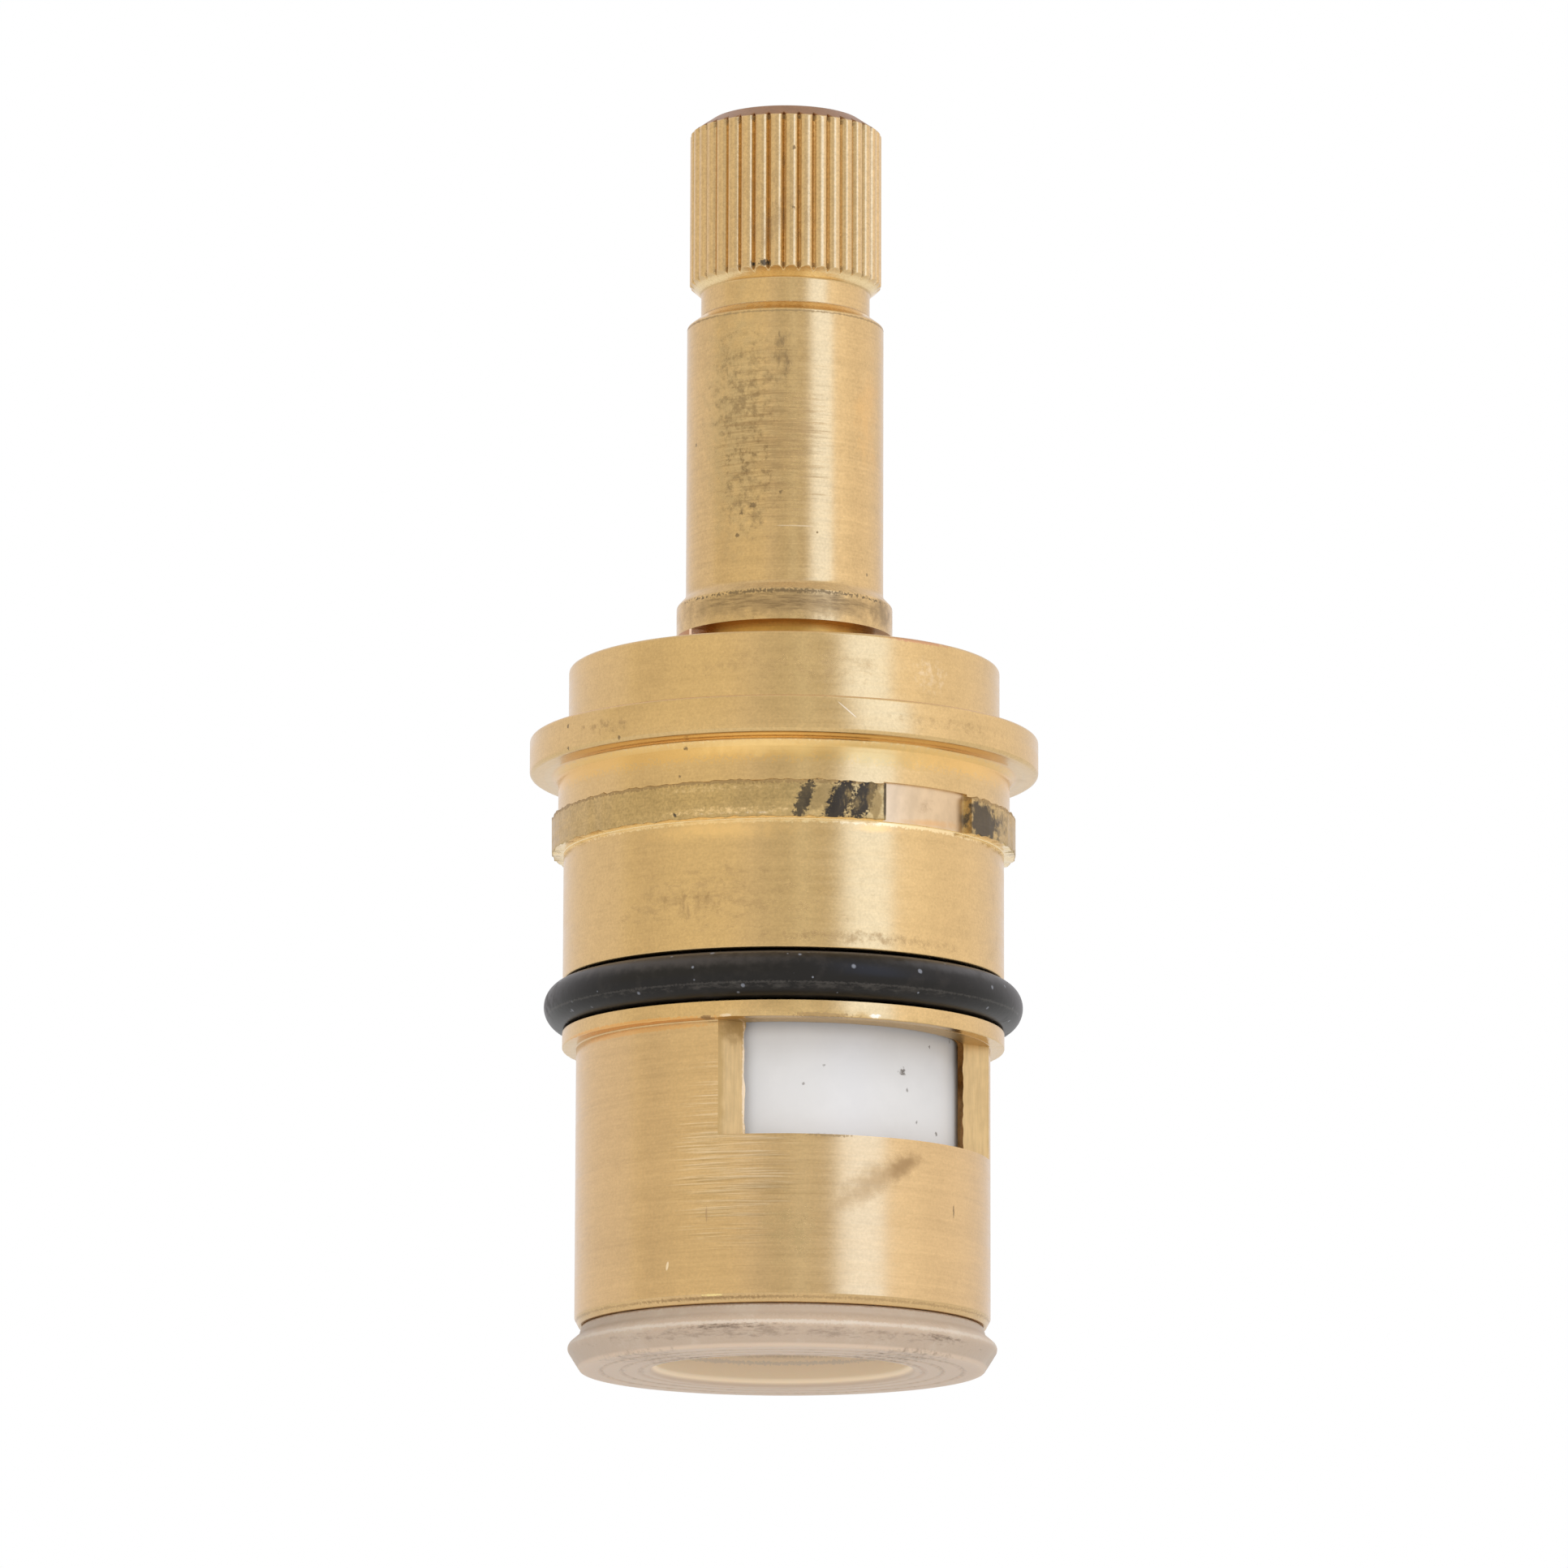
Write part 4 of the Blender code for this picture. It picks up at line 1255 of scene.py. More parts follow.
class Palette:
    """All finishes of the cartridge, each built once."""

    GRIME: ClassVar[Colour] = (0.18, 0.115, 0.05)
    SOOT: ClassVar[Colour] = (0.014, 0.013, 0.014)
    BROWN: ClassVar[Colour] = (0.22, 0.12, 0.045)
    RUST: ClassVar[Colour] = (0.34, 0.20, 0.09)
    SMUDGE: ClassVar[Colour] = (0.31, 0.18, 0.07)
    COPPER: ClassVar[Colour] = (0.62, 0.33, 0.18)
    # Painted orange reflection of brass in brass, along gaps and under ledges.
    PAINTED_ORANGE_REFLECTION: ClassVar[Colour] = (0.80, 0.42, 0.13)
    PALE: ClassVar[Colour] = (1.0, 0.82, 0.58)
    # Painted warm light: the glow of brass reflected onto rims, undersides and shoulders.
    PAINTED_WARM_LIGHT: ClassVar[Colour] = (1.0, 0.79, 0.44)

    def __init__(self) -> None:
        """Build every material."""
        effects = Effects()
        self.body = self.body_brass().build(effects)
        self.skirt = self.skirt_brass().build(effects)
        self.key_ring = self.key_ring_brass().build(effects)
        self.milled = self.window_brass().build(effects)
        self.notch = self.notch_brass().build(effects)
        self.stem = self.stem_brass().build(effects)
        self.spline = self.spline_brass().build(effects)
        self.core = self.core_brass().build(effects)
        self.copper = BrassFinish("copper_toned_brass", colour=(0.34, 0.165, 0.065), tarnish=0.6,
                                  roughness=0.36, mottle=1.0).build(effects)
        # Painted shade: the tab's colour is darkened, as it sits in the gap under the collar; a
        # painted highlight runs down its front edge.
        self.tab = BrassFinish("tab_brass_painted_shade", colour=(0.50, 0.25, 0.11), tarnish=0.5, roughness=0.30,
                               layers=(TornPatch(-91.6, 30.0, 2.2, 2.0, (1.0, 0.72, 0.50), 0.95,
                                             ragged=0.1, metal=True),)).build(effects)
        self.rubber = self.ring_rubber().build(effects)
        self.ceramic = self.disc_ceramic().build(effects)
        self.silicone = self.seal_silicone().build(effects)
        self.acetal = PlainFinish("white_acetal", (0.74, 0.73, 0.69), 0.42).build(effects)
        self.steel = PlainFinish("spring_steel", (0.52, 0.52, 0.54), 0.3,
                                 metallic=1.0).build(effects)

    def body_brass(self) -> BrassFinish:
        """Finish of the crown, flange, waist, barrel and land, with painted warm light, reflections
        and shade.
        """
        layers = (
            line(26.69, 0.045, self.COPPER, 0.6, beyond=10.56),
            # Painted warm light under the flange, and a painted orange reflection along its foot.
            TornPatch(-31.9, 25.06, 60.0, 0.26, self.PAINTED_WARM_LIGHT, 0.9, ragged=0.2, softness=0.9, metal=True,
                  within=10.4),
            line(25.1, 0.03, self.PAINTED_ORANGE_REFLECTION, 0.35, metal=True),
            # Painted warm reflection round the waist, strongest at the front, and painted shade
            # that dims its highlight to the right.
            line(24.72, 0.62, (0.86, 0.53, 0.17), 0.7, metal=True, within=9.75),
            TornPatch(-40.0, 24.75, 24.0, 0.48, (1.0, 0.68, 0.27), 0.8, softness=1.0, metal=True,
                  within=9.75),
            TornPatch(-7.0, 24.5, 26.0, 0.75, (0.6, 0.41, 0.16), 0.65, softness=1.0, metal=True,
                  within=9.75),
            # Painted warm light along the key ring's foot, and a painted warm reflection on the
            # barrel's top below it.
            line(21.74, 0.14, self.PAINTED_WARM_LIGHT, 0.8, metal=True),
            TornPatch(-48.0, 21.35, 26.0, 0.55, (1.0, 0.66, 0.27), 0.55, softness=1.0, metal=True),
            TornPatch(-8.0, 21.5, 9.0, 0.24, (1.0, 0.58, 0.2), 0.6, softness=1.0, metal=True),
            line(14.27, 0.05, self.BROWN, 0.6),
            TornPatch(7.0, 29.62, 11.0, 0.1, self.COPPER, 0.85, fine=True, metal=True, beyond=8.88),
            # Painted orange reflection along the foot of the land.
            TornPatch(-78.0, 13.58, 30.0, 0.12, self.PAINTED_ORANGE_REFLECTION, 0.75, fine=True, metal=True),
            TornPatch(-18.0, 26.13, 2.4, 0.04, self.PALE, 0.75, slant=-0.149, ragged=0.2, metal=True),
            TornPatch(-22.0, 13.62, 9.0, 0.1, self.BROWN, 0.5, fine=True),
            TornPatch(-52.0, 13.56, 1.8, 0.1, self.BROWN, 0.8, fine=True),
            TornPatch(-8.0, 13.66, 1.7, 0.1, self.PALE, 0.6, fine=True, metal=True),
            TornPatch(-46.5, 13.62, 1.6, 0.07, self.PALE, 0.6, fine=True, metal=True),
            FleckField(-55.0, 18.3, 26.0, 1.8, self.BROWN, 0.5, cover=0.88, grain=3.0, stretch=0.4),
            FleckField(-50.0, 18.6, 70.0, 3.4, self.BROWN, 0.38, cover=0.95, grain=1.3, stretch=2.0),
            FleckField(-10.0, 16.9, 70.0, 0.6, self.BROWN, 0.45, cover=1.05, grain=2.6),
            FleckField(-30.0, 28.2, 60.0, 1.9, self.BROWN, 0.3, cover=0.95, grain=1.6),
            FleckField(10.0, 28.2, 16.0, 1.6, self.PALE, 0.35, cover=0.95, grain=3.4, metal=True),
            FleckField(-76.0, 25.9, 20.0, 0.8, self.BROWN, 0.55, cover=0.95, grain=2.6),
            FleckField(10.0, 25.9, 40.0, 0.7, self.BROWN, 0.35, cover=0.92, grain=2.6),
            dot(-88.9, 26.24, 0.17, 10.7, self.GRIME), dot(-88.8, 25.31, 0.17, 10.7, self.GRIME),
            dot(-71.4, 25.34, 0.2, 10.7, self.GRIME), dot(-57.2, 24.8, 0.22, 9.5, self.GRIME),
            dot(-58.9, 23.64, 0.13, 9.5, self.GRIME),
        )
        return BrassFinish("turned_body_brass", tarnish=0.45, layers=layers)

    def skirt_brass(self) -> BrassFinish:
        """Finish of the skirt, brushed by handling and smudged at the front, with a painted glint
        on its foot edge and a painted orange reflection under the land.
        """
        layers = (
            FleckField(-46.0, 8.0, 40.0, 9.0, self.PALE, 0.62, cover=0.92, grain=0.26, stretch=44.0,
                  metal=True),
            FleckField(-44.0, 7.5, 42.0, 9.0, (0.36, 0.24, 0.09), 0.6, cover=0.92, grain=0.24,
                  stretch=48.0, metal=True),
            FleckField(-30.0, 4.8, 20.0, 3.0, (0.32, 0.23, 0.09), 0.45, cover=1.0, grain=1.4,
                  stretch=1.6),
            line(2.05, 0.06, self.BROWN, 0.3, ragged=1.2),
            TornPatch(-52.0, 2.04, 30.0, 0.1, self.BROWN, 0.45, softness=0.9, fine=True),
            TornPatch(-6.0, 6.95, 16.0, 0.95, self.SMUDGE, 0.48, slant=0.083, ragged=0.3,
                  softness=1.0),
            TornPatch(3.0, 7.62, 7.5, 0.6, self.SMUDGE, 0.78, slant=0.075, ragged=0.3, softness=0.9),
            TornPatch(22.4, 6.05, 0.35, 0.32, self.GRIME, 0.8, ragged=0.3, fine=True),
            TornPatch(-53.0, 5.5, 0.3, 0.38, self.RUST, 0.6, ragged=0.3, fine=True),
            TornPatch(-64.9, 3.46, 0.5, 0.18, self.PALE, 0.9, slant=0.2, ragged=0.2, metal=True),
            # Painted glint on the foot edge, and a painted orange reflection under the land.
            TornPatch(-51.0, 2.16, 3.2, 0.05, (1.0, 0.8, 0.35), 0.8, fine=True, metal=True),
            TornPatch(-78.0, 13.35, 30.0, 0.12, self.PAINTED_ORANGE_REFLECTION, 0.5, fine=True, metal=True),
            TornPatch(-20.0, 8.74, 6.0, 0.07, self.GRIME, 0.55, ragged=1.0, fine=True),
        )
        return BrassFinish("brushed_skirt_brass", colour=(0.685, 0.47, 0.228), tarnish=0.4,
                           streak=0.6, brush=0.35, mottle=0.45, speck_share=0.02, layers=layers)

    def key_ring_brass(self) -> BrassFinish:
        """Finish of the ring with the key notches, left raw and smudged."""
        layers = (
            TornPatch(0.0, 23.27, ALL_ROUND, 0.1, self.BROWN, 0.5, ragged=1.2, fine=True),
            FleckField(-46.0, 22.05, 42.0, 0.42, (1.0, 0.72, 0.36), 0.85, cover=0.95, grain=4.0,
                  stretch=1.6, metal=True),
            FleckField(-40.0, 21.95, 34.0, 0.22, self.PALE, 0.9, cover=0.8, grain=3.0, stretch=1.6,
                  metal=True),
            FleckField(-50.0, 23.0, 40.0, 0.45, (0.95, 0.7, 0.36), 0.6, cover=0.92, grain=4.0,
                  stretch=1.6, metal=True),
            TornPatch(-22.5, 22.6, 5.0, 0.8, (0.24, 0.16, 0.06), 0.6, ragged=0.7),
            TornPatch(-27.0, 22.5, 3.0, 0.72, self.SOOT, 0.85, slant=0.26, ragged=0.6, fine=True),
            TornPatch(-18.2, 22.45, 4.4, 0.98, self.SOOT, 0.94, slant=0.17, ragged=0.5, fine=True),
            TornPatch(-12.2, 22.65, 3.8, 0.92, self.SOOT, 0.94, slant=0.2, ragged=0.5, fine=True),
            FleckField(-15.0, 22.6, 9.0, 1.3, (0.5, 0.34, 0.13), 0.6, cover=0.85, grain=2.2,
                  stretch=0.5, metal=True),
            TornPatch(-9.3, 22.6, 2.4, 1.0, (0.26, 0.17, 0.06), 0.65, ragged=0.6),
            TornPatch(-6.6, 22.6, 0.5, 1.2, self.SOOT, 0.8, ragged=0.3),
            TornPatch(26.8, 22.35, 8.4, 0.85, (0.045, 0.036, 0.03), 0.88, ragged=0.6, softness=0.4),
            FleckField(36.0, 22.6, 16.0, 1.2, (0.1, 0.08, 0.065), 0.8, cover=1.0, grain=2.0,
                  stretch=0.8),
            dot(-59.2, 21.98, 0.2, 9.75, self.SOOT),
        )
        return BrassFinish("raw_key_ring_brass", colour=(0.56, 0.39, 0.165), tarnish=0.7,
                           roughness=0.34, marks_per_mm=2.6, streak=0.9, brush=0.6, mottle=1.3,
                           mark_depth=0.008 * MM, layers=layers)

    def window_brass(self) -> MilledFinish:
        """Finish of the flats, ceiling and sill of the two windows."""
        layers = (
            TornPatch(-45.0, 13.4, 8.0, 1.0, (0.3, 0.18, 0.05), 0.6, softness=0.9),
            TornPatch(-51.0, 11.2, 2.8, 6.0, (0.46, 0.29, 0.1), 0.75, ragged=0.15, softness=0.5,
                  metal=True),
            TornPatch(-43.9, 11.2, 0.5, 3.0, self.PALE, 0.5, ragged=0.5, fine=True, metal=True),
        )
        return MilledFinish("milled_window_brass", (0.62, 0.42, 0.185), layers=layers)

    def notch_brass(self) -> MilledFinish:
        """Finish of the key notches, pinkish and scratched, with a painted orange reflection low on
        the floor and a painted highlight on one end wall.
        """
        layers = (
            # Painted orange reflection low on the floor.
            TornPatch(8.0, 21.95, 12.0, 0.22, self.PAINTED_ORANGE_REFLECTION, 0.45, slant=0.01, softness=1.0, metal=True),
            FleckField(8.0, 22.6, 14.0, 0.9, self.RUST, 0.35, cover=0.8, grain=2.0),
            # Painted highlight on the end wall.
            TornPatch(21.3, 22.5, 1.3, 1.5, (1.0, 0.86, 0.62), 1.0, ragged=0.1, metal=True),
        )
        return MilledFinish("milled_notch_brass", (0.72, 0.53, 0.32), grain=1.6, layers=layers)

    def stem_brass(self) -> BrassFinish:
        """Finish of the neck, shaft and collar, with grime worked into its left side, painted warm
        light on the shoulder and a painted warm sheen on the right.
        """
        layers = (
            # Painted warm light on the shoulder.
            line(44.8, 0.17, self.PAINTED_WARM_LIGHT, 0.8, metal=True),
            line(44.95, 0.03, self.RUST, 0.6),
            line(44.4, 0.05, self.GRIME, 0.6),
            TornPatch(-28.0, 32.3, 62.0, 0.1, (0.1, 0.07, 0.035), 0.85, ragged=1.3, softness=0.7,
                  fine=True),
            TornPatch(-30.0, 31.8, 100.0, 0.8, (0.32, 0.21, 0.09), 0.72, ragged=0.4, softness=0.9),
            FleckField(-30.0, 31.9, 110.0, 1.0, self.GRIME, 0.7, cover=1.1, grain=1.0, stretch=9.0),
            TornPatch(34.0, 31.8, 16.0, 0.9, self.GRIME, 0.5, softness=0.9),
            TornPatch(-60.0, 39.8, 38.0, 7.0, (0.44, 0.34, 0.17), 0.45, ragged=0.4, softness=1.0),
            FleckField(-58.0, 40.6, 50.0, 6.6, self.GRIME, 0.62, cover=0.99, grain=2.7),
            FleckField(-54.0, 36.6, 40.0, 4.6, self.GRIME, 0.7, cover=0.94, grain=2.7),
            FleckField(-33.0, 42.4, 14.0, 2.6, self.GRIME, 0.85, cover=1.05, grain=2.4, stretch=0.5),
            FleckField(-40.0, 39.0, 70.0, 8.0, self.BROWN, 0.5, cover=1.05, grain=0.45, stretch=22.0),
            # Painted warm sheen on the right of the shaft.
            FleckField(26.0, 40.0, 30.0, 4.5, (0.85, 0.5, 0.18), 0.35, cover=1.1, grain=0.5,
                  metal=True),
            TornPatch(-27.0, 35.15, 12.0, 0.03, self.PALE, 0.45, ragged=0.3, metal=True),
            dot(-34.3, 36.6, 0.17, 4.17, self.GRIME), dot(-50.5, 36.07, 0.3, 4.17, self.GRIME),
            dot(-57.5, 35.76, 0.18, 4.17, self.GRIME), dot(-60.6, 34.81, 0.22, 4.17, self.GRIME),
            dot(-13.0, 34.9, 0.12, 4.17, self.GRIME),
        )
        return BrassFinish("turned_stem_brass", colour=(0.68, 0.465, 0.212), tarnish=0.35,
                           marks_per_mm=7.0, streak=0.7, brush=0.35, mottle=0.7, speck_share=0.05,
                           layers=layers)

    def spline_brass(self) -> BrassFinish:
        """Finish of the splined end, with painted shade down in its grooves and darker groove ends.
        """
        groove_end_dark = (0.07, 0.045, 0.02)
        layers = (
            # Painted warm light at the foot of the spline.
            line(46.14, 0.17, self.PAINTED_WARM_LIGHT, 0.7, metal=True),
            # Painted shade down in the grooves.
            line(49.6, 4.0, (0.56, 0.35, 0.14), 0.28, metal=True, within=3.99),
            # Darker at both ends of the grooves.
            line(52.86, 0.16, groove_end_dark, 0.4, within=4.02),
            line(46.46, 0.16, groove_end_dark, 0.28, within=4.02),
            FleckField(-40.0, 49.0, 60.0, 5.0, self.BROWN, 0.45, cover=0.92, grain=2.0, stretch=0.4),
            dot(-27.0, 51.5, 0.22, 4.07, self.GRIME), dot(-27.0, 48.9, 0.16, 4.07, self.GRIME),
            dot(-45.0, 46.55, 0.4, 4.07, self.SOOT), dot(-52.0, 46.5, 0.2, 4.07, self.SOOT),
        )
        return BrassFinish("splined_brass", colour=(0.7, 0.485, 0.235), tarnish=0.4, streak=0.12,
                           brush=0.1, mottle=0.9, speck_share=0.1, layers=layers)

    def core_brass(self) -> BrassFinish:
        """Finish of the stretch between collar and crown, darkened to a deep orange as painted
        shade and reflection, darkest at both sides.
        """
        layers = (
            # Painted shade at both sides of the gap.
            TornPatch(-95.0, 30.3, 34.0, 1.6, (0.14, 0.06, 0.016), 0.65, softness=0.9, ragged=0.2,
                  metal=True),
            TornPatch(35.0, 30.3, 34.0, 1.6, (0.14, 0.06, 0.016), 0.65, softness=0.9, ragged=0.2,
                  metal=True),
        )
        return BrassFinish("shaded_core_brass", colour=(0.55, 0.3, 0.07), tarnish=0.5,
                           roughness=0.3, layers=layers)

    def ring_rubber(self) -> RubberFinish:
        """Finish of the sealing rings, with a worn moulding line, painted highlights and a painted
        reflection along the top of the large one.
        """
        layers = (
            # Painted highlights on the large ring.
            TornPatch(-60.0, 15.9, 45.0, 0.45, (0.055, 0.046, 0.04), 0.75, ragged=0.4, softness=1.0),
            TornPatch(15.0, 15.9, 26.0, 0.3, (0.05, 0.046, 0.046), 0.75, ragged=0.4, softness=1.0),
            # Painted reflection along the top of the large ring.
            line(16.18, 0.08, (0.075, 0.06, 0.048), 0.6),
            line(14.86, 0.045, (0.09, 0.08, 0.07), 0.32, ragged=1.5),
            FleckField(-30.0, 14.75, 120.0, 0.35, (0.1, 0.088, 0.075), 0.4, cover=0.95, grain=2.0,
                  stretch=3.0),
        )
        return RubberFinish(layers=layers)

    def disc_ceramic(self) -> CeramicFinish:
        """Finish of both discs, with the specks that the window shows."""
        speck = (0.10, 0.08, 0.06)
        layers = (
            dot(10.3, 11.84, 0.34, 7.34, speck), dot(12.5, 11.09, 0.16, 7.34, speck, 0.7),
            dot(-18.5, 11.84, 0.14, 7.34, speck, 0.6), dot(-25.3, 11.04, 0.14, 7.34, speck, 0.6),
            dot(16.8, 9.8, 0.17, 7.34, speck, 0.7), dot(23.7, 13.07, 0.15, 7.34, speck, 0.7),
            dot(28.0, 9.51, 0.2, 7.34, speck, 0.8),
            FleckField(-20.0, 8.98, 5.0, 0.16, self.GRIME, 0.6, cover=0.8, grain=5.0),
            FleckField(26.0, 10.0, 5.0, 1.5, self.GRIME, 0.4, cover=0.45, grain=5.0),
        )
        return CeramicFinish(layers=layers)

    def seal_silicone(self) -> SiliconeFinish:
        """Finish of the seat seal, dirty along its rim."""
        dirt = (0.16, 0.11, 0.07)
        layers = (
            line(1.5, 0.32, (0.36, 0.27, 0.195), 0.45, ragged=0.3),
            line(1.78, 0.05, (0.34, 0.2, 0.11), 0.5),
            line(1.0, 0.1, (0.62, 0.55, 0.47), 0.5, ragged=1.0),
            FleckField(-47.0, 0.84, 26.0, 0.24, dirt, 0.85, cover=1.15, grain=2.6, stretch=4.0),
            FleckField(15.0, 0.7, 18.0, 0.22, dirt, 0.85, cover=1.15, grain=2.6, stretch=4.0),
            FleckField(-30.0, 0.6, 140.0, 0.5, dirt, 0.45, cover=1.0, grain=1.6, stretch=4.0),
            FleckField(10.0, 0.0, 40.0, 0.4, dirt, 0.6, cover=0.98, grain=2.6),
            FleckField(-80.0, 0.0, 40.0, 0.4, dirt, 0.5, cover=0.98, grain=2.6),
        )
        return SiliconeFinish(layers=layers)


# Sub-assemblies


@dataclass
class CartridgeBody:
    """Turned brass housing with windows, key ring, flange and stop pocket."""

    palette: Palette
    crown_radius: float = 9.08 * MM
    crown_top: float = 29.71 * MM
    flange_radius: float = 10.71 * MM
    flange_foot: float = 25.13 * MM
    flange_top: float = 26.70 * MM
    waist_radius: float = 9.50 * MM
    key_ring_radius: float = 9.75 * MM
    key_ring_foot: float = 21.80 * MM
    key_ring_top: float = 23.33 * MM
    key_notch_floor: float = 9.35 * MM
    key_notch: tuple[float, float] = (-6.3, 21.2)
    barrel_radius: float = 9.26 * MM
    groove_radius: float = 8.00 * MM
    groove_top: float = 16.38 * MM
    groove_foot: float = 14.24 * MM
    land_radius: float = 9.27 * MM
    skirt_radius: float = 8.68 * MM
    ledge: float = 13.55 * MM
    foot_radius: float = 8.50 * MM
    foot_edge: float = 2.18 * MM
    foot: float = 1.84 * MM
    skirt_bore: float = 7.75 * MM
    skirt_bore_top: float = 13.95 * MM
    coupling_bore: float = 6.95 * MM
    shoulder: float = 17.65 * MM
    stem_bore: float = 4.25 * MM
    pocket_radius: float = 4.66 * MM
    pocket_depth: float = 1.30 * MM
    window_flat: float = 5.60 * MM
    window_sill: float = 8.77 * MM
    window_ceiling: float = 13.54 * MM
    window_steps: int = 24
    keyway_half_width: float = 1.60 * MM
    keyway_radius: float = 8.20 * MM
    keyway_top: float = 8.60 * MM
    edge: float = 0.10 * MM
    burr: float = 0.035 * MM
    hair: float = 0.01 * MM
    worn_band: float = 0.12 * MM
    pocket_play: float = 0.75
    segments: int = 320

    def profile(self) -> Outline:
        """Outer side of the body from the crown down, then its bore upwards."""
        edge = self.edge
        return rounded([
            Corner(self.crown_radius, self.crown_top, 0.16 * MM),
            Corner(self.crown_radius, self.flange_top, 0.05 * MM),
            Corner(self.flange_radius, self.flange_top, 0.14 * MM),
            Corner(self.flange_radius, self.flange_foot, 0.18 * MM),
            Corner(self.waist_radius, self.flange_foot, 0.35 * MM),
            Corner(self.waist_radius, self.key_ring_top, 0.03 * MM),
            Corner(self.key_ring_radius, self.key_ring_top, 0.05 * MM),
            Corner(self.key_ring_radius, self.key_ring_foot, 0.05 * MM),
            Corner(self.barrel_radius, self.key_ring_foot, 0.04 * MM),
            Corner(self.barrel_radius, self.groove_top, edge),
            Corner(self.groove_radius, self.groove_top, edge),
            Corner(self.groove_radius, self.groove_foot, edge),
            Corner(self.land_radius, self.groove_foot, 0.03 * MM),
            Corner(self.land_radius, self.ledge, 0.04 * MM),
            Corner(self.skirt_radius, self.ledge, 0.06 * MM),
            Corner(self.skirt_radius, self.foot_edge, edge),
            Corner(self.foot_radius, self.foot, 0.05 * MM),
            Corner(self.skirt_bore, self.foot, edge),
            *self.bore_steps(),
            Corner(self.skirt_bore, self.skirt_bore_top, 0.0),
            Corner(self.coupling_bore, self.skirt_bore_top, 0.0),
            Corner(self.coupling_bore, self.shoulder, 0.0),
            Corner(self.stem_bore, self.shoulder, 0.0),
            Corner(self.stem_bore, self.crown_top, edge),
        ])

    def bore_steps(self) -> list[Corner]:
        """Extra levels up the bore beside the window, where its edge is jagged."""
        rise = (self.window_ceiling - self.window_sill) / self.window_steps
        return [Corner(self.skirt_bore, self.window_sill + rise * k)
                for k in range(self.window_steps + 1)]

    def worn_radius(self, radius: float, level: float, angle: float) -> float:
        """Make the edges of the key ring and the bore beside the window ragged.

        Args:
            radius: Radius of the profile.
            level: Height above the seat.
            angle: Angle round the axis, in radians from +X.

        Returns:
            The radius at that angle.
        """
        ring = self.key_ring_foot - 0.07 * MM < level < self.key_ring_top + 0.07 * MM
        if ring and radius > self.waist_radius + 2.0 * self.hair:
            near_edge = min(abs(level - self.key_ring_foot), abs(level - self.key_ring_top))
            if near_edge < self.worn_band:
                return radius + self.burr * rough_edge(angle, level, 26.0, 3.0)
        beside_window = self.window_sill + 10.0 * self.hair < level < self.window_ceiling
        if beside_window and abs(radius - self.skirt_bore) < self.hair:
            return radius + 1.5 * self.burr * rough_edge(angle, level * 3.0, 9.0, 5.0)
        return radius

    def build(self) -> None:
        """Make the body and dress it."""
        body = lathe("brass_cartridge_body", self.profile(), self.segments, shape=self.worn_radius)
        cut(body, self.tools())
        self.ragged_ring(body)
        smooth(body, 28.0)
        looks = self.palette
        paint_faces(body, (looks.body, looks.key_ring, looks.milled, looks.notch, looks.skirt),
                    self.finish_of)
        install(body, Body.HOUSING, "cartridge_body")

    def tools(self) -> list[Item]:
        """Make the cutters.

        Returns:
            Cutters for windows, keyways, key notches and the stop pocket.
        """
        reach = self.flange_radius
        front = -math.pi / 2.0
        shapes = [
            block("window_front", (-reach, -reach, self.window_sill),
                  (reach, -self.window_flat, self.window_ceiling)),
            block("window_back", (-reach, self.window_flat, self.window_sill),
                  (reach, reach, self.window_ceiling)),
            block("keyways", (-self.keyway_radius, -self.keyway_half_width, 0.0),
                  (self.keyway_radius, self.keyway_half_width, self.keyway_top)),
        ]
        start, end = (math.radians(a) for a in self.key_notch)
        for name, middle in (("front", front), ("back", front + math.pi)):
            outline = sector(self.key_notch_floor, reach, middle + start, middle + end)
            shapes.append(prism("key_notch_" + name, outline, self.key_ring_foot - 0.1 * MM,
                                self.key_ring_top + 0.1 * MM))
        play = math.radians(self.pocket_play)
        pocket = sector(0.0, self.pocket_radius, math.pi / 2.0 - play,
                        1.5 * math.pi + play, 64)
        shapes.append(prism("stop_pocket", pocket, self.crown_top - self.pocket_depth,
                            self.crown_top + 1.0 * MM))
        return shapes

    def ragged_ring(self, body: Item) -> None:
        """Shift the edges of key ring and land up and down a little, as burrs and nicks.

        Args:
            body: The turned and cut body.
        """
        for vertex in body.data.vertices:
            radius = math.hypot(vertex.co.x, vertex.co.y)
            angle = math.atan2(vertex.co.y, vertex.co.x)
            on_ledge = abs(vertex.co.z - self.ledge) < 3.0 * self.hair
            if on_ledge and radius > self.land_radius - 6.0 * self.hair:
                vertex.co.z += 0.4 * self.burr * rough_edge(angle, self.ledge, 22.0, 4.0)
            if radius < self.waist_radius + 0.1 * MM:
                continue
            for level, seed in ((self.key_ring_foot, 1.0), (self.key_ring_top, 7.0)):
                if abs(vertex.co.z - level) < 0.06 * MM:
                    vertex.co.z += 2.4 * self.burr * rough_edge(angle, level, 30.0, seed)

    def on_ring(self, level: float) -> bool:
        """Whether a level lies between the two edges of the key ring."""
        return self.key_ring_foot < level < self.key_ring_top

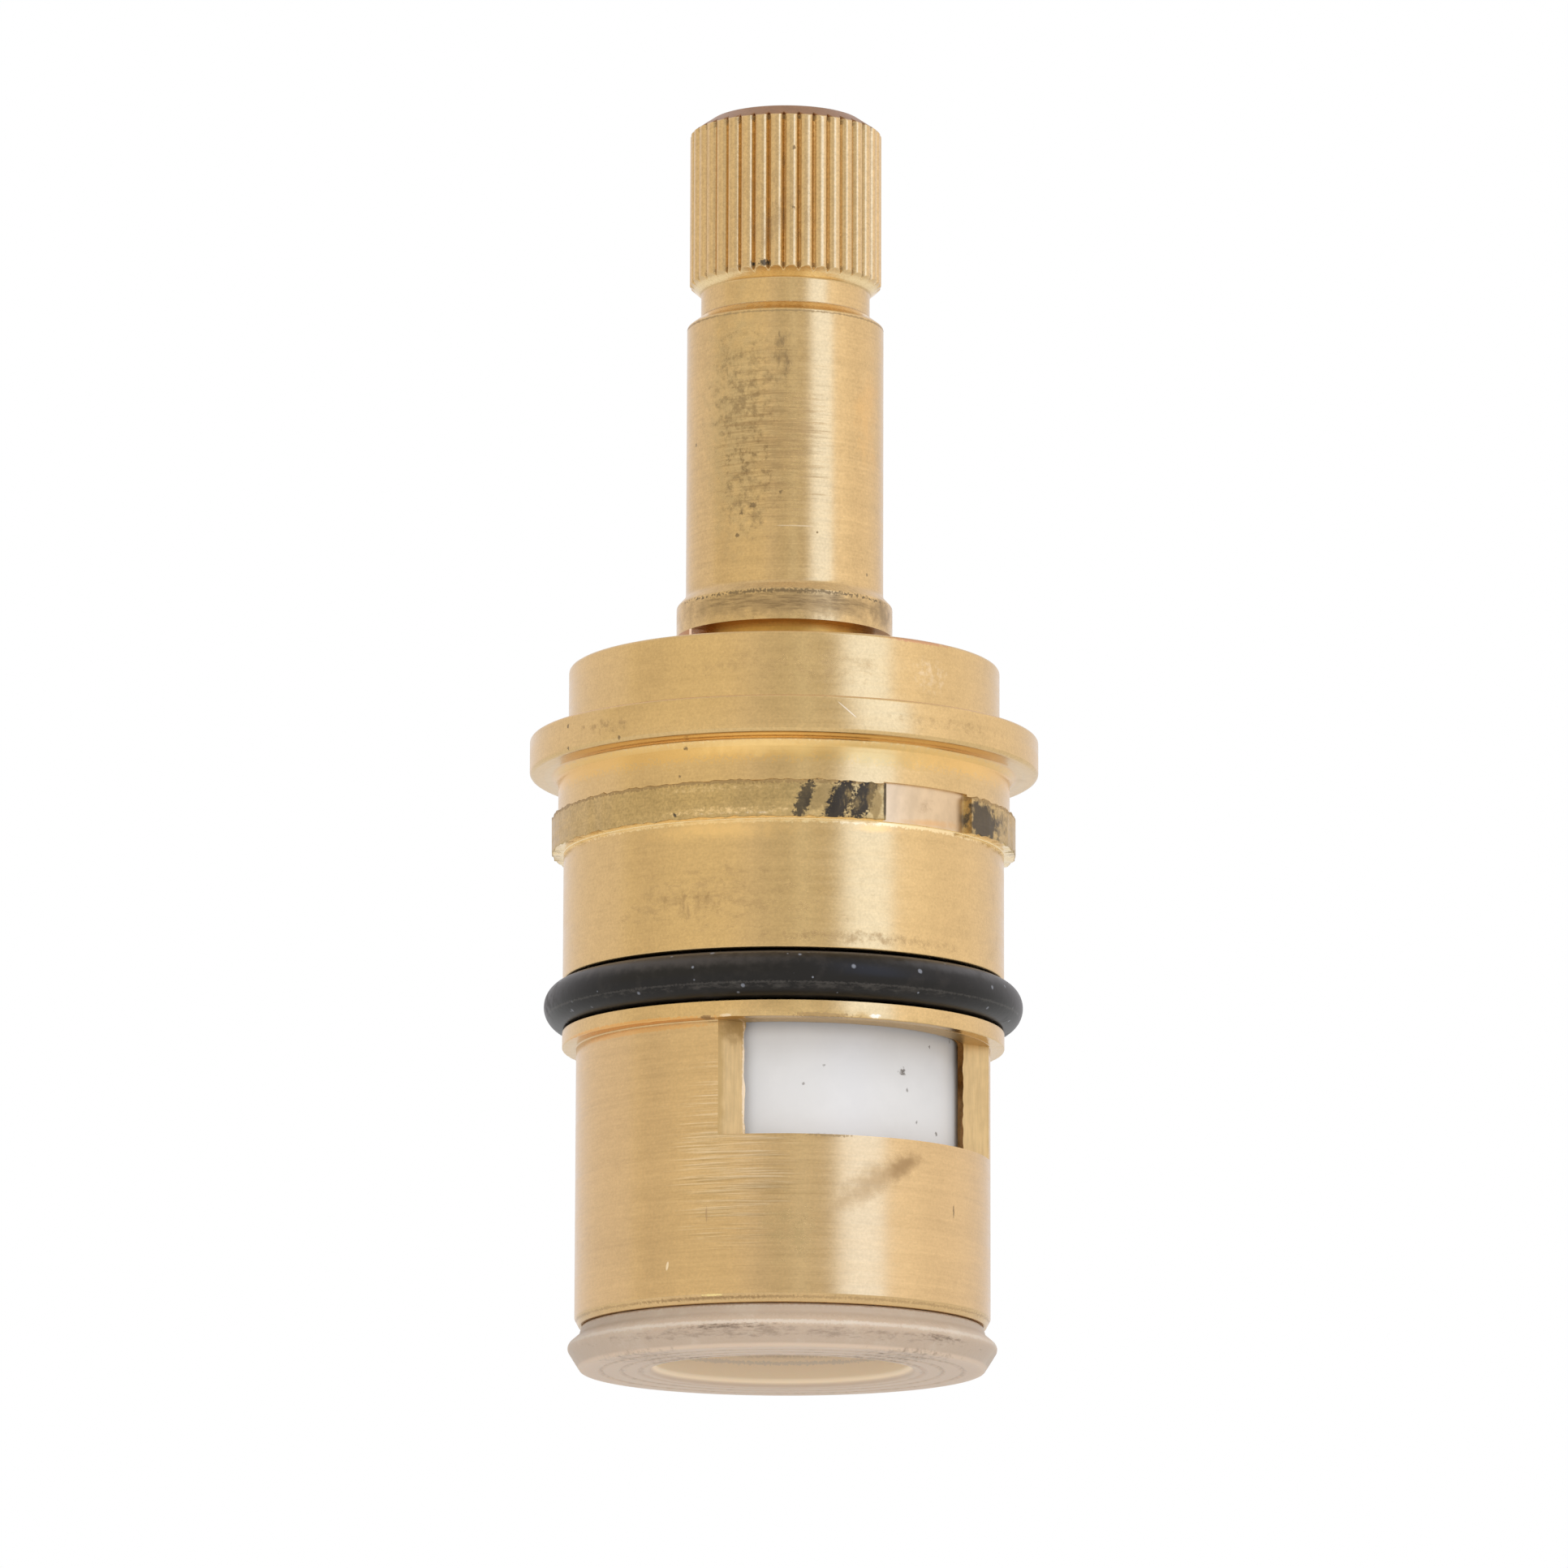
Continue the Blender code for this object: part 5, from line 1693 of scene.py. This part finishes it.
    def finish_of(self, face: Face) -> int:
        """Choose the finish of a face.

        Args:
            face: A face of the body.

        Returns:
            0 for turned, 1 raw ring, 2 milled window, 3 milled notch, 4 skirt.
        """
        centre = face.center
        radius = math.hypot(centre.x, centre.y)
        if self.key_ring_foot - 0.08 * MM < centre.z < self.key_ring_top + 0.08 * MM:
            if radius > self.waist_radius + 0.1 * MM:
                return 1
            upright = abs(face.normal.z) < 0.5
            inner = self.waist_radius - 2.0 * self.hair
            if upright and radius > inner and self.on_ring(centre.z):
                return 1
            if upright and radius < inner:
                return 3 if radius > self.barrel_radius + 0.04 * MM else 0
        on_flat = abs(abs(centre.y) - self.window_flat) < self.hair and abs(face.normal.y) > 0.9
        if on_flat and self.window_sill < centre.z < self.window_ceiling:
            return 2
        to_end = min(abs(centre.z - self.window_sill), abs(centre.z - self.window_ceiling))
        flat_end = to_end < 0.5 * self.hair and abs(face.normal.z) > 0.9
        if flat_end and radius < self.skirt_radius:
            return 2
        return 4 if centre.z < self.ledge - 0.5 * self.hair else 0


@dataclass
class Stem:
    """Brass stem with a splined end, stop collar, tab and driving flats."""

    palette: Palette
    teeth: int = 38
    tooth_depth: float = 0.22 * MM
    tooth_fullness: float = 2.7
    tooth_end_steps: int = 12
    top: float = 53.53 * MM
    top_radius: float = 3.20 * MM
    spline_radius: float = 4.07 * MM
    spline_edge: float = 52.93 * MM
    spline_foot: float = 46.40 * MM
    neck_radius: float = 3.58 * MM
    neck_top: float = 45.97 * MM
    neck_foot: float = 44.94 * MM
    shaft_radius: float = 4.17 * MM
    shaft_top: float = 44.49 * MM
    collar_top: float = 32.81 * MM
    collar_radius: float = 4.56 * MM
    collar_edge: float = 32.39 * MM
    collar_foot: float = 31.10 * MM
    core_radius: float = 3.80 * MM
    tab_foot: float = 28.56 * MM
    relief_radius: float = 3.70 * MM
    journal_radius: float = 4.15 * MM
    journal_top: float = 28.31 * MM
    ring_levels: tuple[float, float] = (25.01 * MM, 21.51 * MM)
    groove_half_width: float = 0.64 * MM
    groove_radius: float = 3.05 * MM
    clip_seat_radius: float = 3.45 * MM
    clip_groove: tuple[float, float] = (17.05 * MM, 16.35 * MM)
    end: float = 14.60 * MM
    flats_half_width: float = 2.90 * MM
    flats_top: float = 16.25 * MM
    tab_play: float = 0.75
    segments: int = 608

    def profile(self) -> Outline:
        """Lay out the stem from its top to its end.

        Returns:
            The profile as (radius, level) points.
        """
        corners = [
            Corner(0.0, self.top),
            Corner(self.top_radius, self.top, 0.12 * MM),
            Corner(self.spline_radius, self.spline_edge, 0.10 * MM),
            Corner(self.spline_radius, self.spline_foot, 0.05 * MM),
            Corner(self.neck_radius, self.neck_top, 0.06 * MM),
            Corner(self.neck_radius, self.neck_foot, 0.05 * MM),
            Corner(self.shaft_radius, self.shaft_top, 0.12 * MM),
            Corner(self.shaft_radius, self.collar_top, 0.40 * MM),
            Corner(self.collar_radius, self.collar_edge, 0.20 * MM),
            Corner(self.collar_radius, self.collar_foot),
            Corner(self.collar_radius, self.tab_foot, 0.05 * MM),
            Corner(self.relief_radius, self.tab_foot),
            Corner(self.relief_radius, self.journal_top),
            Corner(self.journal_radius, self.journal_top - 0.15 * MM),
        ]
        for level in self.ring_levels:
            upper = level + self.groove_half_width
            lower = level - self.groove_half_width
            corners += [Corner(self.journal_radius, upper), Corner(self.groove_radius, upper),
                        Corner(self.groove_radius, lower), Corner(self.journal_radius, lower)]
        top, foot = self.clip_groove
        corners += [
            Corner(self.journal_radius, top), Corner(self.clip_seat_radius, top),
            Corner(self.clip_seat_radius, foot), Corner(self.journal_radius, foot),
            Corner(self.journal_radius, self.end, 0.15 * MM), Corner(0.0, self.end),
        ]
        return self.with_tooth_ends(rounded(corners, closed=False))

    def with_tooth_ends(self, points: Outline) -> Outline:
        """Add points along both chamfers of the spline, where the grooves run out.

        Args:
            points: The plain profile.

        Returns:
            The profile with the added points.
        """
        result: Outline = []
        for here, ahead in zip(points, points[1:]):
            result.append(here)
            slope = abs(here[0] - ahead[0]) > 0.2 * MM and abs(here[1] - ahead[1]) > 0.2 * MM
            if slope and here[1] > self.neck_foot:
                for k in range(1, self.tooth_end_steps):
                    share = k / self.tooth_end_steps
                    result.append((here[0] + (ahead[0] - here[0]) * share,
                                   here[1] + (ahead[1] - here[1]) * share))
        result.append(points[-1])
        return result

    def toothed(self, radius: float, level: float, angle: float) -> float:
        """Cut the radius back by the grooves of the spline.

        Args:
            radius: Radius of the profile.
            level: Height above the seat.
            angle: Angle round the axis, in radians from +X.

        Returns:
            The radius at that angle.
        """
        if level < self.neck_top - 0.2 * MM or radius < 1.0 * MM:
            return radius
        pitch = 2.0 * math.pi / self.teeth
        away = abs((angle / pitch) % 1.0 - 0.5) * 2.0
        return min(radius, self.spline_radius - self.tooth_depth * away ** self.tooth_fullness)

    def build(self) -> None:
        """Make the stem and dress it."""
        stem = lathe("brass_stem", self.profile(), self.segments, closed=False, shape=self.toothed)
        cut(stem, self.tools())
        smooth(stem, 30.0)
        looks = self.palette
        paint_faces(stem, (looks.stem, looks.copper, looks.tab, looks.core, looks.spline),
                    self.finish_of)
        install(stem, Body.SPINDLE, "stem")

    def tools(self) -> list[Item]:
        """Make the cutters.

        Returns:
            Cutters that leave the stop tab and the two driving flats.
        """
        play = math.radians(self.tab_play)
        relief = sector(self.core_radius, self.collar_radius + 1.0 * MM,
                        math.pi - play, 2.5 * math.pi + play, 96)
        reach = self.journal_radius + 1.0 * MM
        return [
            prism("tab_relief", relief, self.tab_foot - 0.08 * MM, self.collar_foot),
            block("flat_left", (-reach, -reach, self.end - 1.0 * MM),
                  (-self.flats_half_width, reach, self.flats_top)),
            block("flat_right", (self.flats_half_width, -reach, self.end - 1.0 * MM),
                  (reach, reach, self.flats_top)),
        ]

    def finish_of(self, face: Face) -> int:
        """Choose the finish of a face.

        Args:
            face: A face of the stem.

        Returns:
            0 for turned, 1 copper top, 2 tab, 3 shaded core, 4 spline.
        """
        centre = face.center
        radius = math.hypot(centre.x, centre.y)
        if centre.z > self.spline_edge + 0.05 * MM and radius > self.top_radius - 0.1 * MM:
            return 1
        if self.journal_top < centre.z < self.collar_foot + 0.02 * MM:
            return 2 if radius > self.core_radius + 0.08 * MM and face.normal.z > -0.5 else 3
        return 4 if centre.z > self.neck_top + 0.05 * MM else 0


@dataclass
class SealingRings:
    """The body's sealing ring and the two rings on the stem's journal."""

    palette: Palette
    outer_radius: float = 10.07 * MM
    cord: float = 2.00 * MM
    level: float = 15.31 * MM
    flash: float = 0.022 * MM
    flash_angle: float = -24.0
    flash_width: float = 5.0
    stem_ring_radius: float = 3.62 * MM
    stem_ring_cord: float = 1.00 * MM
    stem_ring_levels: tuple[float, float] = (25.01 * MM, 21.51 * MM)
    sharp_angle: float = 60.0

    def cord_section(self, centre: float, cord: float, level: float, steps: int) -> Outline:
        """Round section of a ring, with moulding flash on the large one.

        Args:
            centre: Distance of the cord's centre from the axis.
            cord: Thickness of the cord.
            level: Height of the cord's centre.
            steps: Points round the section.

        Returns:
            The section as (radius, level) points.
        """
        points: Outline = []
        for i in range(steps):
            angle = math.pi / 2.0 - math.tau * i / steps
            off = abs(math.degrees(angle) - self.flash_angle)
            ridge = self.flash * max(0.0, 1.0 - off / self.flash_width)
            radius = cord / 2.0 + (ridge if cord == self.cord else 0.0)
            points.append((centre + radius * math.cos(angle), level + radius * math.sin(angle)))
        return points

    def build(self) -> None:
        """Make and dress the three rings."""
        centre = self.outer_radius - self.cord / 2.0
        ring = lathe("rubber_body_ring",
                     self.cord_section(centre, self.cord - 2.0 * self.flash, self.level, 72), 256)
        rubber = self.palette.rubber
        complete(ring, rubber, Body.HOUSING, "body_o_ring", self.sharp_angle)
        for name, level in zip(("upper", "lower"), self.stem_ring_levels):
            section = self.cord_section(self.stem_ring_radius, self.stem_ring_cord, level, 24)
            ring = lathe("rubber_stem_ring_" + name, section, 96)
            complete(ring, rubber, Body.SPINDLE, "stem_o_ring_" + name,
                     self.sharp_angle)


@dataclass
class CeramicDiscs:
    """The fixed disc with its ports and the rotating disc that closes them."""

    palette: Palette
    fixed_radius: float = 7.60 * MM
    rotating_radius: float = 7.34 * MM
    port: tuple[float, float] = (2.90 * MM, 5.50 * MM)
    port_half_angle: float = 33.0
    notch_radius: float = 2.90 * MM
    notch_half_angle: float = 38.0
    ear_reach: float = 8.10 * MM
    ear_half_width: float = 1.50 * MM
    slot_half_width: float = 1.60 * MM
    slot_half_length: float = 5.10 * MM
    slot_depth: float = 1.50 * MM
    edge: float = 0.14 * MM

    def plate(self, name: str, radius: float, node: str) -> Item:
        """Turn a plain disc as thick as its node.

        Args:
            name: Name of the new object.
            radius: Radius of the disc.
            node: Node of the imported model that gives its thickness.

        Returns:
            The new object, linked to the scene.
        """
        low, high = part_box(node)
        profile = disc_profile(radius, high.z, low.z, self.edge)
        return lathe(name, profile, 192, closed=False)

    def build(self) -> None:
        """Make and dress both discs."""
        self.build_fixed()
        self.build_rotating()

    def build_fixed(self) -> None:
        """Fixed disc: two sector ports on the window side, two ears across them."""
        low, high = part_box("fixed_ceramic_disc")
        disc = self.plate("ceramic_fixed_disc", self.fixed_radius, "fixed_ceramic_disc")
        ears = block("ears", (-self.ear_reach, -self.ear_half_width, low.z + 0.1 * MM),
                     (self.ear_reach, self.ear_half_width, high.z - 0.1 * MM))
        cut(disc, [ears], "UNION")
        half = math.radians(self.port_half_angle)
        ports = [prism("port", sector(*self.port, middle - half, middle + half),
                       low.z - 1.0 * MM, high.z + 1.0 * MM)
                 for middle in (-math.pi / 2.0, math.pi / 2.0)]
        cut(disc, ports)
        complete(disc, self.palette.ceramic, Body.HOUSING, "fixed_ceramic_disc")

    def build_rotating(self) -> None:
        """Rotating disc: two side notches and a slot for the coupling's tang."""
        low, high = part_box("rotating_ceramic_disc")
        disc = self.plate("ceramic_rotating_disc", self.rotating_radius, "rotating_ceramic_disc")
        half = math.radians(self.notch_half_angle)
        reach = self.rotating_radius + 1.0 * MM
        tools = [prism("notch", sector(self.notch_radius, reach, middle - half, middle + half),
                       low.z - 1.0 * MM, high.z + 1.0 * MM)
                 for middle in (0.0, math.pi)]
        tools.append(block("slot", (-self.slot_half_width, -self.slot_half_length,
                                    high.z - self.slot_depth),
                           (self.slot_half_width, self.slot_half_length, high.z + 1.0 * MM)))
        cut(disc, tools)
        complete(disc, self.palette.ceramic, Body.SPINDLE, "rotating_ceramic_disc")


@dataclass
class SeatSeal:
    """Silicone lip ring under the body, and the stiff ring inside it."""

    palette: Palette
    bore: float = 5.28 * MM
    bore_chamfer: float = 0.30 * MM
    foot_radius: float = 8.43 * MM
    foot_bulge: float = 8.76 * MM
    rim_radius: float = 9.02 * MM
    rim_level: float = 0.98 * MM
    neck_radius: float = 8.38 * MM
    lip_height: float = 1.83 * MM
    sleeve_radius: float = 7.65 * MM
    pocket_radius: float = 6.75 * MM
    floor: float = 2.06 * MM
    ridge: float = 0.07 * MM
    foot_grooves: tuple[float, ...] = (7.55 * MM, 6.70 * MM, 5.95 * MM)
    groove_half_width: float = 0.13 * MM
    support_wall: float = 0.95 * MM
    support_edge: float = 0.08 * MM
    gap: float = 0.10 * MM

    def foot(self) -> list[Corner]:
        """Lay out the underside of the seal, with shallow moulded grooves.

        Returns:
            Its corners from the outer edge inwards.
        """
        corners = [Corner(self.foot_bulge, 0.52 * MM, 0.5 * MM),
                   Corner(self.foot_radius, 0.0, 0.14 * MM)]
        for radius in self.foot_grooves:
            corners += [Corner(radius + self.groove_half_width, 0.0, 0.1 * MM),
                        Corner(radius, self.ridge, 0.05 * MM),
                        Corner(radius - self.groove_half_width, 0.0, 0.1 * MM)]
        corners += [Corner(self.bore + self.bore_chamfer, 0.0, 0.2 * MM),
                    Corner(self.bore, self.bore_chamfer, 0.2 * MM)]
        return corners

    def build(self) -> None:
        """Make and dress the seal and its support ring."""
        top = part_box("seat_seal")[1].z
        profile = rounded([
            Corner(self.sleeve_radius, top, 0.1 * MM),
            Corner(self.sleeve_radius, self.lip_height),
            Corner(self.neck_radius, self.lip_height, 0.10 * MM),
            Corner(self.neck_radius + 0.10 * MM, 1.45 * MM, 0.3 * MM),
            Corner(self.rim_radius + 0.02 * MM, self.rim_level, 0.32 * MM),
            *self.foot(),
            Corner(self.bore, self.floor, 0.02 * MM),
            Corner(self.pocket_radius, self.floor),
            Corner(self.pocket_radius, top, 0.1 * MM),
        ], arc_points=6)
        seal = lathe("silicone_seat_seal", profile, 256)
        complete(seal, self.palette.silicone, Body.HOUSING, "seat_seal", 50.0)
        self.build_support(top)

    def build_support(self, top: float) -> None:
        """Make the stiff ring in the seal's pocket.

        Args:
            top: Level of its upper side.
        """
        outer = self.pocket_radius - self.gap
        profile = ring_profile(outer, outer - self.support_wall, top, self.floor + self.gap,
                               self.support_edge)
        ring = lathe("acetal_support_ring", profile, 128)
        complete(ring, self.palette.acetal, Body.HOUSING, "seal_support_ring")


@dataclass
class DriveParts:
    """Washer, clip and coupling between the stem and the rotating disc."""

    palette: Palette
    journal: float = 4.15 * MM
    gap: float = 0.10 * MM
    washer_radius: float = 6.85 * MM
    clip: tuple[float, float] = (3.55 * MM, 5.15 * MM)
    clip_opening: float = 80.0
    coupling_radius: float = 6.85 * MM
    coupling_floor: float = 0.60 * MM
    tang_half_width: float = 1.50 * MM
    tang_half_length: float = 5.00 * MM
    tang_depth: float = 1.50 * MM
    flats_half_width: float = 3.00 * MM
    edge: float = 0.10 * MM

    def build(self) -> None:
        """Make and dress the three pieces."""
        self.build_washer()
        self.build_clip()
        self.build_coupling()

    def build_washer(self) -> None:
        """Flat washer under the shoulder of the body."""
        low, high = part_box("thrust_washer")
        profile = ring_profile(self.washer_radius, self.journal + self.gap, high.z, low.z,
                               self.edge)
        washer = lathe("acetal_thrust_washer", profile, 128)
        complete(washer, self.palette.acetal, Body.HOUSING, "thrust_washer")

    def build_clip(self) -> None:
        """Open clip in the groove of the stem."""
        low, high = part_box("retaining_clip")
        half = math.radians(self.clip_opening) / 2.0
        clip = prism("steel_retaining_clip",
                     sector(*self.clip, half, math.tau - half, 72), low.z, high.z)
        ease_edges(clip, 0.5 * self.edge)
        complete(clip, self.palette.steel, Body.SPINDLE, "retaining_clip")

    def build_coupling(self) -> None:
        """Disc with a socket for the stem's flats above and a tang below."""
        low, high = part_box("drive_coupling")
        foot = low.z + self.tang_depth
        profile = disc_profile(self.coupling_radius, high.z, foot, self.edge)
        coupling = lathe("acetal_drive_coupling", profile, 128, closed=False)
        tang = block("tang", (-self.tang_half_width, -self.tang_half_length, low.z),
                     (self.tang_half_width, self.tang_half_length, foot + 0.3 * MM))
        cut(coupling, [tang], "UNION")
        radius = self.journal + self.gap
        corner = math.acos(self.flats_half_width / radius)
        outline = arc(radius, corner, math.pi - corner, 32)
        outline += arc(radius, math.pi + corner, math.tau - corner, 32)
        cut(coupling, [prism("socket", outline, foot + self.coupling_floor, high.z + 1.0 * MM)])
        complete(coupling, self.palette.acetal, Body.SPINDLE, "drive_coupling")


@dataclass(frozen=True)
class Screen:
    """A soft-edged band of the surroundings, in degrees of turn or of height.

    Attributes:
        start: Where the band begins.
        end: Where it ends.
        colour: Linear colour that the metal sees there.
        rise: Width of the soft edge at the start.
        fall: Width of the soft edge at the end.
    """

    start: float
    end: float
    colour: Colour
    rise: float = 8.0
    fall: float = 8.0

    def mask(self, sheet: Sheet, place: Socket) -> Socket:
        """Find what the screen covers.

        Args:
            sheet: Adds nodes to the world.
            place: Degrees of turn or of height.

        Returns:
            Share of the screen at that place, from 0 to 1.
        """
        into = sheet.band(place, self.start - self.rise / 2.0, self.start + self.rise / 2.0)
        out = sheet.band(place, self.end - self.fall / 2.0, self.end + self.fall / 2.0, 1.0, 0.0)
        return sheet.times(into, out)


@dataclass
class Studio:
    """Floor, surroundings, lamps and camera.

    Attributes:
        azimuth: The camera's direction round the part, in degrees; 0 looks along +Y.
        elevation: The camera's height angle; it looks up from below the part.
        distance: From the camera to the point that it aims at.
        aim_level: Height of that point on the axis.
        frame_width: Width of the image at the part's axis.
        roll: Tilt of the camera about its line of sight, in degrees.
        floor_level: Height of the floor, a hair under the part.
        floor_radius: Radius of the round floor.
    """

    azimuth: float = -31.9
    elevation: float = -10.4
    distance: float = 0.410
    aim_level: float = 24.9 * MM
    frame_width: float = 66.05 * MM
    roll: float = 0.17
    floor_level: float = -0.15 * MM
    floor_radius: float = 2.5

    WHITE: ClassVar[Colour] = (1.0, 1.0, 1.0)
    AMBIENT: ClassVar[Colour] = (0.40, 0.40, 0.40)
    ROOM: ClassVar[Colour] = (0.93, 0.90, 0.92)
    FLOOR: ClassVar[Colour] = (0.88, 0.88, 0.88)
    SCREENS: ClassVar[tuple[Screen, ...]] = (
        Screen(-92.0, -18.0, (0.93, 0.88, 0.77), rise=6.0, fall=26.0),
        Screen(-86.0, -66.0, (0.82, 0.77, 0.69), rise=8.0, fall=26.0),
        Screen(-14.0, 30.0, (0.74, 0.72, 0.67), rise=20.0, fall=6.0),
        Screen(6.0, 14.0, (0.90, 0.92, 0.92), rise=5.0, fall=5.0),
        Screen(31.0, 58.5, (1.36, 1.64, 2.40), rise=12.0, fall=4.0),
        Screen(59.5, 88.0, (1.20, 1.18, 1.22), rise=4.0, fall=40.0),
        Screen(90.0, 130.0, (1.08, 1.05, 1.08), rise=40.0, fall=40.0),
    )
    ZONES: ClassVar[tuple[Screen, ...]] = (
        Screen(50.0, 100.0, (0.85, 0.83, 0.83), rise=24.0, fall=4.0),
        Screen(-100.0, -30.0, (0.62, 0.56, 0.50), rise=4.0, fall=24.0),
    )

    def toward(self, turn: float, height: float) -> Vector:
        """Direction from the part.

        Args:
            turn: Degrees to the right of the camera's direction.
            height: Degrees above the horizon.

        Returns:
            The direction as a unit vector.
        """
        a = math.radians(self.azimuth + turn)
        e = math.radians(height)
        return Vector((math.sin(a) * math.cos(e), -math.cos(a) * math.cos(e), math.sin(e)))

    def build(self) -> None:
        """Set up the whole studio."""
        bpy.context.scene.view_settings.view_transform = "Standard"
        self.build_camera()
        self.build_floor()
        self.build_world()
        self.build_lamps()

    def build_camera(self) -> None:
        """Place the camera at the photograph's angle."""
        data = bpy.data.cameras.new("camera")
        data.sensor_width = 36.0
        data.lens = data.sensor_width * self.distance / self.frame_width
        data.clip_start = 0.01
        data.clip_end = 20.0
        camera = bpy.data.objects.new("camera", data)
        back = self.toward(0.0, self.elevation)
        camera.location = Vector((0.0, 0.0, self.aim_level)) + back * self.distance
        camera.rotation_mode = "QUATERNION"
        turn = (-back).to_track_quat("-Z", "Y")
        roll = Matrix.Rotation(math.radians(self.roll), 3, "Z").to_quaternion()
        camera.rotation_quaternion = turn @ roll
        bpy.context.scene.collection.objects.link(camera)
        bpy.context.scene.camera = camera

    def build_floor(self) -> None:
        """Pale round floor that keeps the part's shadow and isn't seen from below."""
        solid = bmesh.new()
        bmesh.ops.create_circle(solid, cap_ends=True, segments=96, radius=self.floor_radius)
        floor = object_from("floor", solid)
        floor.location.z = self.floor_level
        material, sheet, shader = new_material("pale_floor")
        material.cycles.emission_sampling = "NONE"
        sheet.fill(shader, Base_Color=(*self.FLOOR, 1.0), Roughness=0.9)
        glow = sheet.add("ShaderNodeEmission")
        sheet.fill(glow, Color=(*self.WHITE, 1.0))
        path = sheet.add("ShaderNodeLightPath").outputs
        seen = sheet.plus(path["Is Camera Ray"], path["Is Glossy Ray"])
        seen = sheet.math("ADD", seen, path["Is Transmission Ray"], clamp=True)
        share = sheet.times(seen, 0.6)
        share = sheet.math("MULTIPLY_ADD", path["Is Diffuse Ray"], 0.8, share, clamp=True)
        top_side = sheet.add("ShaderNodeMixShader")
        sheet.feed(top_side, 0, share)
        sheet.feed(top_side, 1, shader.outputs[0])
        sheet.feed(top_side, 2, glow.outputs[0])
        below = sheet.add("ShaderNodeMixShader")
        sheet.feed(below, 0, sheet.add("ShaderNodeNewGeometry").outputs["Backfacing"])
        sheet.feed(below, 1, top_side.outputs[0])
        sheet.feed(below, 2, sheet.add("ShaderNodeBsdfTransparent").outputs[0])
        output = material.node_tree.nodes["Material Output"]
        sheet.feed(output, "Surface", below.outputs[0])
        floor.data.materials.append(material)

    def build_world(self) -> None:
        """White backdrop, and the screens round the part that its metal mirrors."""
        world = bpy.data.worlds.new("studio")
        bpy.context.scene.world = world
        world.use_nodes = True
        sheet = Sheet(world.node_tree)
        backdrop = world.node_tree.nodes["Background"]
        direction = sheet.add("ShaderNodeTexCoord").outputs["Generated"]
        front = sheet.dot(direction, tuple(self.toward(0.0, 0.0)))
        right = sheet.dot(direction, tuple(self.toward(90.0, 0.0)))
        turn = sheet.math("DEGREES", sheet.math("ARCTAN2", right, front))
        height = sheet.math("DEGREES", sheet.math("ARCSINE", sheet.dot(direction, (0.0, 0.0, 1.0))))
        mirrored = self.ROOM
        for screen in self.SCREENS:
            mirrored = sheet.mix(screen.mask(sheet, turn), mirrored, screen.colour)
        for screen in self.ZONES:
            mirrored = sheet.mix(screen.mask(sheet, height), mirrored, screen.colour)
        path = sheet.add("ShaderNodeLightPath").outputs
        colour = sheet.mix(path["Is Glossy Ray"], self.AMBIENT, mirrored)
        seen = sheet.math("MAXIMUM", path["Is Camera Ray"], path["Is Transmission Ray"])
        sheet.fill(backdrop, Color=sheet.mix(seen, colour, self.WHITE), Strength=1.0)

    def build_lamps(self) -> None:
        """Large soft lamps, placed round the camera's direction."""
        self.lamp("key_lamp", 45.0, 40.0, 0.9, 0.7, 5.0)
        self.lamp("fill_lamp", -50.0, 15.0, 0.9, 0.9, 3.4)
        self.lamp("low_lamp", 10.0, 9.0, 0.8, 0.2, 1.4)

    def lamp(self, name: str, turn: float, height: float, distance: float, size: float,
             power: float) -> None:
        """Add one square area lamp aimed at the part.

        Args:
            name: Name of the lamp.
            turn: Degrees to the right of the camera's direction.
            height: Degrees above the horizon.
            distance: From the part.
            size: Side of the lamp.
            power: In watts.
        """
        data = bpy.data.lights.new(name, "AREA")
        data.size = size
        data.energy = power
        lamp = bpy.data.objects.new(name, data)
        away = self.toward(turn, height)
        lamp.location = Vector((0.0, 0.0, self.aim_level)) + away * distance
        lamp.rotation_mode = "QUATERNION"
        lamp.rotation_quaternion = (-away).to_track_quat("-Z", "Y")
        lamp.visible_glossy = False
        bpy.context.scene.collection.objects.link(lamp)


def main() -> None:
    """Build the cartridge and its studio."""
    logging.basicConfig(level=logging.INFO, format="%(name)s: %(message)s")
    palette = Palette()
    Studio().build()
    for piece in (Stem(palette), CartridgeBody(palette), SealingRings(palette),
                  CeramicDiscs(palette), DriveParts(palette), SeatSeal(palette)):
        piece.build()
        log.info("%s built", type(piece).__name__)


if __name__ == "__main__":
    main()
